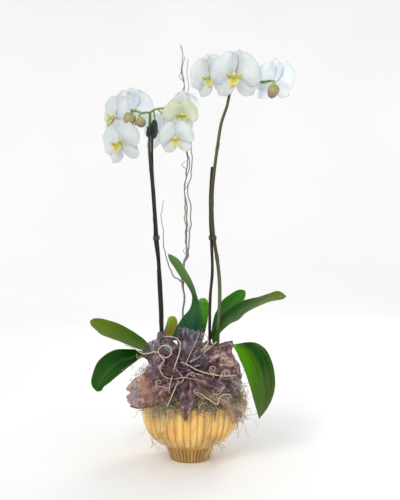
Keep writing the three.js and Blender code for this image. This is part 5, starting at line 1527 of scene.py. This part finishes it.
def bract(at, tang, side, size):
    """a small pointed scale that clasps the stem"""
    U, V = np.meshgrid(np.linspace(0, 1, 12), np.linspace(-1, 1, 11), indexing="ij")
    tang = tang / np.linalg.norm(tang)
    side = side - tang * side.dot(tang)
    side /= np.linalg.norm(side) + 1e-9
    oth = np.cross(tang, side)
    r = size * 0.42
    a = V * (1.9 - 1.7 * U)
    rr = r * (1 + 0.25 * U)
    G = at + (rr * np.cos(a))[..., None] * side + (rr * np.sin(a))[..., None] * oth + ((U - 0.15) * size * 1.9)[..., None] * tang
    return shell(G, 0.45)


def spike(name, main, arms, stalks, mat, bracts):
    path = curve(main, 150)
    t = np.linspace(0, 1, 150)
    r = 3.6 + (2.5 - 3.6) * t
    for b in bracts:
        r = r + 0.55 * np.exp(-(((t - b) / 0.006) ** 2))
    parts, mo = [tube(path, r, 16, 3, 0.02)], [0]
    tg, nn, bb = frames(path)
    for k, b in enumerate(bracts):
        i = int(b * 149)
        parts.append(bract(path[i], tg[i], np.array([1.0 if k % 2 else -1.0, -0.3, 0]), 6.6))
        mo.append(0)
    for a in arms:
        p = curve(a, 40)
        parts.append(tube(p, np.linspace(2.0, 1.4, 40), 12, 4, 0.02))
        mo.append(1)
    for s, f, back in stalks:
        p = stalk_path(s, f, back)
        rr = prof([(0, 1.35), (0.1, 1.15), (0.8, 1.15), (1, 1.7)], np.linspace(0, 1, len(p)))
        parts.append(tube(p, rr, 10))
        mo.append(1)
        d = p[1] - p[0]
        parts.append(bract(p[0], d, np.array([0.2, -1.0, -0.4]), 3.6))
        mo.append(1)
    o = build(name + "_stem", parts, [mat, STALK], mat_of=mo)
    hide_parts(name)
    return path


F, Bd = LAYOUT["flowers"], LAYOUT["buds"]
budf = lambda b: dict(c=b["c"], az=b["az"], el=b["el"], roll=0)
AL, AR, SR = LAYOUT["spike_left_branch_left"], LAYOUT["spike_left_branch_right"], LAYOUT["spike_right"]
spike(
    "spike_left",
    LAYOUT["spike_left"],
    [AL, AR],
    [
        (AL[3], F["flower_1"], 3.0),
        (AL[2], F["flower_2"], 3.0),
        (AL[3], F["flower_3"], 3.0),
        (AR[1], F["flower_4"], 3.0),
        (AR[4], F["flower_5"], 3.0),
        (AR[2], F["flower_6"], 3.0),
        (AR[5], F["flower_7"], 3.0),
        (AL[5], budf(Bd["bud_a"]), Bd["bud_a"]["l"] / 2 - 0.5),
        (AL[1], budf(Bd["bud_b"]), Bd["bud_b"]["l"] / 2 - 0.5),
    ],
    STEM_L,
    [0.13, 0.34, 0.55, 0.76],
)
spike(
    "spike_right",
    SR,
    [],
    [(SR[14], F["flower_8"], 3.0), (SR[16], F["flower_9"], 3.0), (SR[20], F["flower_10"], 3.0), (SR[19], budf(Bd["bud_c"]), Bd["bud_c"]["l"] / 2 - 0.5)],
    STEM_R,
    [0.12, 0.30, 0.48, 0.66],
)


def stake(name, pts, dx, mat, rad=2.1):
    p = curve([[pts[0][0] + dx, pts[0][1], 98], *pts], 120)
    r = rad + 0.12 * np.sin(np.linspace(0, 60, 120))
    o = build(name + "_stick", [tube(p, r, 14, 9, 0.03)], mat)
    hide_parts(name)


stake("stake_left", LAYOUT["stake_left"], 14, STAKE_L)
stake("stake_right", LAYOUT["stake_right"], -4, STAKE_R, 2.7)


def twig():
    p = curve([[3, 30, 98], *LAYOUT["twig"]], 260)
    t = np.linspace(0, 1, 260)
    wig = np.stack([wob(t * 26, 5, 1.6), wob(t * 23, 6, 1.6), 0 * t], 1) * np.clip((t - 0.15) * 4, 0, 1)[:, None]
    p = p + wig
    r = 2.1 + (0.7 - 2.1) * t + 0.3 * np.maximum(0, np.sin(t * 90)) ** 6
    parts = [tube(p, r, 10, 2, 0.05)]
    # a slim side shoot that leaves low down and climbs beside it
    k1 = np.arange(104, 250)
    t1 = t[k1]
    side = np.stack([8.5 + wob(t1 * 15, 21, 2.2), -2.0 + wob(t1 * 12, 22, 2.0), 0 * t1], 1)
    side *= (1 - np.exp(-(t1 - t1[0]) * 14))[:, None]
    parts.append(tube(p[k1] + side, np.linspace(1.35, 0.5, len(k1)), 8, 11, 0.06))
    # a second, thinner shoot that winds round the first
    k2 = np.arange(60, 252)
    t2 = t[k2]
    off = np.stack([3.2 * np.sin(t2 * 21) + wob(t2 * 30, 15, 1.5), 3.0 * np.cos(t2 * 19) + wob(t2 * 28, 16, 1.2), 0 * t2], 1)
    off *= np.clip((t2 - t2[0]) * 8, 0, 1)[:, None]
    parts.append(tube(p[k2] + off, np.linspace(1.3, 0.6, len(k2)), 8, 6, 0.06))
    q = curve(LAYOUT["twig_side"], 120)
    tq = np.linspace(0, 1, 120)
    q = q + np.stack([wob(tq * 14, 7, 0.9), wob(tq * 14, 8, 0.9), 0 * tq], 1)
    q[0] = p[np.argmin(np.linalg.norm(p - q[0], axis=1))]
    parts.append(tube(q, np.linspace(1.25, 0.5, 120), 8, 3, 0.05))
    g = srnd(21)
    for k in range(9):
        i = int((0.42 + 0.06 * k) * 259)
        sgn = 1 if k % 2 else -1
        ln = 16 + 12 * g.rand()
        s = np.linspace(0, 1, 26)
        ang = s * (2.6 + 1.4 * g.rand())
        rad = ln * (0.35 + 0.2 * g.rand())
        h = np.stack([sgn * rad * np.sin(ang) * 0.7, rad * (1 - np.cos(ang)) * 0.4 * (g.rand() - 0.3), ln * s * 1.1 - rad * 0.25 * (1 - np.cos(ang))], 1)
        parts.append(tube(p[i] + h, np.linspace(0.75, 0.28, 26), 7, 30 + k, 0.05))
    o = build("curly_twig_wood", parts, TWIG_M)
    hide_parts("curly_twig")


twig()


def at_height(pts, z):
    p = curve(pts, 300)
    i = int(np.argmin(np.abs(p[:, 2] - z)))
    return p[i]


def clip(name, stem, stk, z, w, h, wings):
    a, b = at_height(stem, z), at_height(stk, z)
    m = (a + b) / 2
    d = (b - a)[:2]
    L = np.linalg.norm(d)
    ux = np.array([d[0], d[1], 0]) / max(L, 1e-6)
    uy = np.array([-ux[1], ux[0], 0])
    parts = []
    # an oval band round stem and stick
    nu, nv = 64, 9
    ang = np.linspace(0, 2 * math.pi, nu)
    for lay in (0,):
        G = np.zeros((nu, nv, 3))
        for j, y in enumerate(np.linspace(-1, 1, nv)):
            k = 1 + 0.06 * math.cos(y * math.pi / 2)
            G[:, j] = m + np.outer(np.cos(ang) * (L / 2 + w * 0.86) * k, ux) + np.outer(np.sin(ang) * w * 0.82 * k, uy) + np.array([0, 0, y * h * 0.44])
        parts.append(shell(G, 1.0))
    if wings:
        # the two finger plates of a spring clip
        U, V = np.meshgrid(np.linspace(0, 1, 16), np.linspace(-1, 1, 13), indexing="ij")
        for sgn in (1, -1):
            wd = prof([(0, 11.0), (0.35, 17.0), (0.75, 15.0), (1, 7.0)], U) * (1 if sgn > 0 else 0.5)
            G = m + (sgn * (1.2 + (15.0 if sgn > 0 else 9.0) * U))[..., None] * np.array([0.86, -0.5 * sgn, 0]) * 0.9 + ((V * wd) + (3.0 if sgn > 0 else 7.0) * sgn * U + 1.0)[..., None] * np.array([0, 0, 1.0]) - (w * 0.75 * np.ones_like(U) + 1.0 * np.sin(U * 3))[..., None] * np.array([0, 1.0, 0])
            parts.append(shell(G, 1.3))
    o = build(name + "_shell", parts, CLIP_M)
    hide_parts(name)


clip("clip_left_upper", LAYOUT["spike_left"], LAYOUT["stake_left"], 596, 6.2, 16, True)
clip("clip_left_lower", LAYOUT["spike_left"], LAYOUT["stake_left"], 404, 5.0, 9, False)
clip("clip_right", LAYOUT["spike_right"], LAYOUT["stake_right"], 404, 5.2, 9, False)


# ------------------------------------------------------------------ the bow of sheer wired ribbon
RIBBON = 60.0
KNOT = np.array(LAYOUT["knot"], float)
# in each colour set the deep colour is the painted shade in the folds and the dark wired edge, and the high colour the
# painted highlight on the ridges and creases
ORG_DEEP, ORG_MID, ORG_HIGH, ORG_WARM = lin(36, 16, 30), lin(108, 66, 94), lin(226, 184, 196), lin(166, 114, 92)
ORGANZA = organza_mat("organza_plum", ORG_DEEP, ORG_MID, ORG_HIGH, ORG_WARM, 0.84, 0.45)
ORGANZA_GREY = organza_mat("organza_grey", lin(42, 26, 34), lin(108, 80, 94), lin(206, 182, 190), lin(158, 130, 104), 0.76, 0.5)
ORGANZA_BLUE = organza_mat("organza_blue", lin(30, 20, 32), lin(80, 66, 84), lin(176, 162, 178), lin(104, 84, 86), 0.84, 0.4)
ORGANZA_ROSE = organza_mat("organza_rose", lin(58, 24, 38), lin(134, 84, 98), lin(246, 206, 200), lin(166, 112, 86), 0.86, 0.5)
ORGANZA_BEIGE = organza_mat("organza_beige", lin(150, 112, 94), lin(206, 170, 148), lin(234, 212, 192), lin(228, 184, 142), 0.74, 0.8)
ORGANZA_THIN = organza_mat("organza_sheer", lin(74, 32, 42), lin(146, 94, 98), lin(236, 196, 186), lin(226, 162, 116), 0.86, 0.85)


def crumple(P, seed, amp, freq=0.036):
    """creases in three sizes; also returns how high each point stands, from 0 to 1, which the ribbon materials turn
    into painted light on the ridges and painted shade in the folds
    """
    n = normals_of(P)
    out = np.zeros(P.shape[:2])
    for i in range(P.shape[0]):
        for j in range(P.shape[1]):
            x, y, z = P[i, j] * freq
            w = noise.noise((x * 1.3 + 9, y * 1.3, z * 1.3 + seed)) * 0.9
            a = noise.noise((x + seed + w, y + w, z))
            b = noise.noise((x * 2.4, y * 2.4 + seed + w, z * 2.4 - w))
            c = noise.noise((x * 5.2 + w, y * 5.2, z * 5.2 + seed))
            out[i, j] = (0.5 - abs(a) * 2.6) * 0.9 + (0.5 - abs(b) * 2.4) * 0.62 + (0.4 - abs(c) * 1.8) * 0.34
    t = np.clip(0.5 + out * 0.62, 0, 1)
    return P + n * (out * amp)[..., None], t


def ribbon(name, P, tone, mat, node, wire=0.55):
    o = build(name, [single(P)], mat, tones=[tone.ravel()])
    e = []
    for j in (0, -1):
        e.append(tube(P[:, j], wire, 6))
    w = build(name + "_wire", e, WIRE)
    mid = P[:, P.shape[1] // 2]
    # the length of the cut, along the smoothed middle of the ribbon
    k = np.ones(7) / 7
    sm = np.stack([np.convolve(np.pad(mid[:, i], 3, mode="edge"), k, "valid") for i in range(3)], 1)
    ln = np.linalg.norm(np.diff(sm, axis=0), axis=1).sum()
    a, b, c, d = P[:-1, :-1], P[1:, :-1], P[1:, 1:], P[:-1, 1:]
    area = (np.linalg.norm(np.cross(b - a, c - a), axis=2).sum() + np.linalg.norm(np.cross(c - a, d - a), axis=2).sum()) / 2
    wide = RIBBON
    share = area / (wide * ln)
    print(f"ribbon {name}: cut {wide:.0f} x {ln:.0f} mm, area {area / 100:.0f} cm2, share {share:.2f}")
    if node:
        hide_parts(node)
    return o


def loop_surface(L, seed, nu=150, nv=56, amp=1.5):
    tip = np.array(L["tip"], float)
    e = tip - KNOT
    ln = np.linalg.norm(e)
    e /= ln
    out = np.array([e[0] * 0.25, -1, 0.35])
    n = out - e * out.dot(e)
    n /= np.linalg.norm(n)
    w0 = np.cross(n, e)
    a = math.radians(L["tilt"])
    w = w0 * math.cos(a) + n * math.sin(a)
    u = np.linspace(0, 1, nu)
    v = np.linspace(-0.5, 0.5, nv)
    ph = 0.05 + 0.90 * u
    s0 = math.sin(math.pi * 0.05)
    s = np.clip((np.sin(math.pi * ph) - s0) / (1 - s0), 0, 1)
    r = 3 + (ln - 3) * s**0.8
    h = np.sin(2 * math.pi * ph) * L["h"] - 2
    wide = L["w"] * prof([(0, 0.22), (0.2, 0.62), (0.45, 0.94), (0.8, 1.06), (1, 1.02)], s)
    g = srnd(seed)
    k = 3.4 + g.rand()
    q1, q2, q3 = g.rand(3) * 6.28
    # sharp gathers near the knot that open out towards the tip
    fold = lambda x: 1 - 2 * np.abs(np.sin(x))
    ple = (1 - 0.6 * s)[:, None] * 4.0 * fold(v[None] * math.pi * k + q1 + 1.4 * s[:, None]) + s[:, None] * 2.6 * fold(v[None] * math.pi * 2.3 + 2.2 * u[:, None] + q2)
    arch = -4.0 * (v[None] * 2) ** 2 * s[:, None] * np.sign(h + 2)[:, None] * 0.7
    # the tip edge waves in and out, and one edge curls over
    tipw = (3.0 * np.sin(v * 7 + q1) + 1.0 * np.sin(v * 17 + q3))[None] * (s[:, None] ** 5)
    curl = 4.0 * np.sin(u * math.pi)[:, None] * np.clip(np.abs(v)[None] * 2 - 0.6, 0, 1) ** 1.5 * np.sign(np.sin(q2 + v[None] * 3))
    P = KNOT + e * (r[:, None] + tipw)[..., None] + n * (h[:, None] + ple + arch + curl)[..., None] + w * (v[None] * wide[:, None])[..., None]
    return crumple(P, seed, amp)


LOOP_MAT = {"bow_loop_left_upper": ORGANZA_GREY, "bow_loop_right_lower": ORGANZA_GREY, "bow_loop_top": ORGANZA_BLUE, "bow_loop_right_upper": ORGANZA_ROSE}
for i, (key, L) in enumerate(LAYOUT["loops"].items()):
    P, tn = loop_surface(L, 40 + i)
    ribbon(key + "_cloth", P, tn, LOOP_MAT.get(key, ORGANZA), key)

# small loops close round the knot, in front of and between the large ones
INNER = {
    "bow_inner_left": dict(tip=(-38, -104, 196), w=38, h=9, tilt=24),
    "bow_inner_top": dict(tip=(22, -98, 214), w=36, h=9, tilt=-20),
    "bow_inner_right": dict(tip=(44, -102, 172), w=38, h=9, tilt=-16),
    "bow_inner_low": dict(tip=(-30, -104, 156), w=36, h=8, tilt=12),
    "bow_between_left": dict(tip=(-42, -66, 212), w=42, h=9, tilt=-24),
    "bow_between_right": dict(tip=(44, -62, 214), w=42, h=9, tilt=26),
}
for i, (key, L) in enumerate(INNER.items()):
    P, tn = loop_surface(L, 70 + i, 110, 44, 1.4)
    ribbon(key + "_cloth", P, tn, (ORGANZA, ORGANZA_BLUE, ORGANZA_ROSE, ORGANZA, ORGANZA_GREY, ORGANZA)[i], None, 0.45)


def tail_surface(T, seed, nu=120, nv=52, amp=2.2, folds=3.0):
    path = curve(T["p"], nu)
    t = np.gradient(path, axis=0)
    t /= np.linalg.norm(t, axis=1)[:, None]
    out = path.copy()
    out[:, 2] = 25
    out /= np.linalg.norm(out, axis=1)[:, None]
    side = np.cross(out, t)
    side /= np.linalg.norm(side, axis=1)[:, None]
    nr = np.cross(t, side)
    nr *= np.sign((nr * out).sum(1))[:, None]
    u = np.linspace(0, 1, nu)
    v = np.linspace(-0.5, 0.5, nv)
    W = prof([(k / (len(T["w"]) - 1), x) for k, x in enumerate(T["w"])], u)
    # the cloth keeps its width, so where it is narrow it is folded into pleats
    g = srnd(seed)
    slack = np.sqrt(np.clip((RIBBON / np.maximum(W, 6)) ** 2 - 1, 0, 6.0))
    pa = np.minimum(W * slack / (2 * math.pi * folds) * 0.9, 4.6)
    ple = pa[:, None] * np.sin(v[None] * 2 * math.pi * folds + g.rand() * 6 + 1.2 * u[:, None]) + 1.8 * np.sin(v[None] * 7 + 6 * u[:, None])
    end = 3.0 * np.sin(v * 9 + g.rand() * 6)[None] * (u[:, None] ** 8)
    P = path[:, None] + side[:, None] * (v[None] * W[:, None])[..., None] + nr[:, None] * ple[..., None] + t[:, None] * end[..., None]
    return crumple(P, seed, amp)


TAIL_MAT = {"bow_tail_left": ORGANZA_THIN, "bow_tail_centre": ORGANZA_ROSE, "bow_tail_right": ORGANZA_BEIGE}
for i, (key, T) in enumerate(LAYOUT["tails"].items()):
    c = key == "bow_tail_centre"
    P, tn = tail_surface(T, 60 + i, amp=1.0 if c else 2.4, folds=1.5 if c else 3.0)
    ribbon(key + "_cloth", P, tn, TAIL_MAT[key], key, 0.5)


def knot():
    parts, tones = [], []
    for k in range(4):
        U, V = np.meshgrid(np.linspace(0, 2 * math.pi, 72), np.linspace(-1, 1, 23), indexing="ij")
        rx = 7.4 - 0.5 * k
        tilt = (-0.35, 0.1, 0.5, 0.9)[k]
        x = rx * np.cos(U) * (1 + 0.06 * np.sin(5 * U + k) + 0.05 * np.sin(V * 11 + U))
        y = 6.4 * np.sin(U) * (1 + 0.08 * np.sin(V * 13 + k))
        z = V * (5.0 - k * 0.6) * (1 + 0.16 * np.sin(3 * U + k)) + 0.9 * np.sin(V * 9 + U)
        c, s = math.cos(tilt), math.sin(tilt)
        G = np.stack([x * c - z * s, y, x * s + z * c], -1) + KNOT
        sh = shell(G, 0.5)
        parts.append(sh)
        # bands of tone across each wrap, which the ribbon material turns into painted light on the gathers and painted
        # shade between them
        tn = np.clip(0.45 + 0.4 * np.sin(V * 13 + k), 0, 1).ravel()
        tones.append(np.concatenate([tn, tn]))
    o = build("bow_knot_wrap", parts, ORGANZA, tones=tones)
    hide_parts("bow_knot")


knot()


# ------------------------------------------------------------------ dried curly vines
def vine(name, paths, node=None, r0=0.95):
    parts = []
    for k, p in enumerate(paths):
        n = 26 + 10 * len(p)
        q = curve(p, n)
        t = np.linspace(0, 1, n)
        q = q + np.stack([wob(t * 12, 3 + k, 0.25), wob(t * 12, 4 + k, 0.25), wob(t * 12, 5 + k, 0.25)], 1)
        r = r0 * (0.62 + 0.38 * np.sin(math.pi * np.clip(t * 0.9 + 0.08, 0, 1)) ** 0.5) + 0.12 * np.sin(t * 70)
        parts.append(tube(q, r, 8, 50 + k, 0.06))
    o = build(name, parts, VINE)
    if node:
        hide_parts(node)
    return o


VN = LAYOUT["vines"]
vine("vine_1_stem", [VN["vine_1"], VN["vine_2"]], "curly_vine_1")
vine("vine_2_stem", [VN["vine_3"]], "curly_vine_2")
vine("vine_3_stem", [VN["vine_4"]], "curly_vine_3")
vine("vine_4_stem", [VN["vine_6"]], "curly_vine_4")
vine("vine_5_stem", [VN["vine_7"]], "curly_vine_5")
vine("vine_6_stem", [VN["vine_5"]], None, 0.9)


def spiral(c, rad, turns, tilt, tail, seed):
    """a tight curl that opens into a short tail"""
    t = np.linspace(0, 1, 60)
    a = 2 * math.pi * turns * t + seed
    r = rad * (0.28 + 0.72 * t)
    p = np.stack([r * np.cos(a), -2.5 * t, r * np.sin(a) * math.cos(tilt)], 1)
    d = p[-1] - p[-2]
    d /= np.linalg.norm(d)
    q = p[-1] + d[None] * np.linspace(0, tail, 12)[1:, None] + np.array([0, 1.5, -0.2]) * (np.linspace(0, 1, 12)[1:, None] ** 2) * tail * 0.3
    return np.vstack([p, q]) + np.array(c)


CURLS = [
    ((63, -103, 180), 7.0, 1.4, 0.3, 16, 0.4),
    ((40, -105, 188), 6.0, 1.3, 0.2, 12, 2.0),
    ((46, -104, 150), 7.5, 1.3, 0.3, 14, 4.0),
    ((70, -98, 196), 5.0, 1.6, 0.5, 10, 5.0),
    ((30, -92, 222), 5.5, 1.4, 0.3, 14, 1.0),
    ((58, -96, 210), 4.5, 1.2, 0.4, 18, 3.0),
    ((-52, -104, 164), 6.0, 1.2, 0.3, 20, 3.4),
    ((-16, -106, 170), 6.5, 1.1, 0.3, 22, 0.2),
    ((12, -106, 150), 5.0, 1.3, 0.3, 16, 2.4),
    ((5, -108, 179), 4.6, 1.2, 0.4, 14, 1.2),
    ((24, -98, 204), 4.0, 1.4, 0.3, 16, 4.4),
]
# four thin straight pieces between the curls
STRAWS = [
    [(2, -100, 198), (14, -103, 206), (30, -99, 219), (48, -86, 231)],
    [(-26, -108, 171), (-10, -110, 174), (8, -110, 171), (33, -106, 165)],
    [(-6, -102, 196), (2, -101, 214), (12, -92, 234), (17, -82, 246)],
    [(8, -104, 192), (26, -103, 196), (44, -100, 206), (60, -92, 213)],
]
parts = []
for k, (c, rad, turns, tilt, tail, ph) in enumerate(CURLS):
    q = spiral(c, rad, turns, tilt, tail, ph)
    parts.append(tube(q, np.linspace(0.34, 0.62, len(q)), 7, 90 + k, 0.06))
for k, row in enumerate(STRAWS):
    parts.append(tube(curve(row, 60), np.linspace(0.62, 0.4, 60), 7, 120 + k, 0.06))
build("vine_curls", parts, VINE)


def bow_hairs():
    """loose moss fibres caught on the bow and standing out round it"""
    g = srnd(31)
    c = 250
    S = np.zeros((c, 3))
    H = np.zeros((c, 3))
    for k in range(c):
        a = g.rand() * 2 * math.pi
        # round the edge of the bow, more at the left and the right
        if g.rand() < 0.72:
            a = (0 if g.rand() < 0.55 else math.pi) + g.randn() * 0.55
        rr = 0.62 + 0.42 * g.rand()
        x, z = 4 + 84 * rr * math.cos(a), 178 + 60 * rr * math.sin(a)
        S[k] = (x, -72 - 32 * g.rand(), z)
        H[k] = (math.cos(a) + g.randn() * 0.9, -0.2 + g.randn() * 0.4, math.sin(a) + g.randn() * 0.9)
    for k in range(0, 110):
        S[k] = (-84 + 8 * g.randn(), -50 - 26 * g.rand(), 158 + 18 * g.randn())
        H[k] = (-0.5 + g.randn() * 0.7, -0.3 + g.randn() * 0.4, g.randn())
    P = curl_paths(S, H, 10 + 22 * g.rand(c), 12, 33, 1.5, 0.02)
    P = keep_out(P, 0.5)
    P[..., 1] = np.maximum(P[..., 1], -112)
    lim = np.interp(P[..., 2], [100, 160, 185, 215], [100, 96, 84, 62])
    P[..., 0] = np.where(P[..., 0] > lim, lim - 0.4 * (P[..., 0] - lim), P[..., 0])
    strands("moss_strands_bow", P, 0.22 + 0.18 * g.rand(c), np.clip(0.55 + 0.26 * g.randn(c), 0, 1))


bow_hairs()
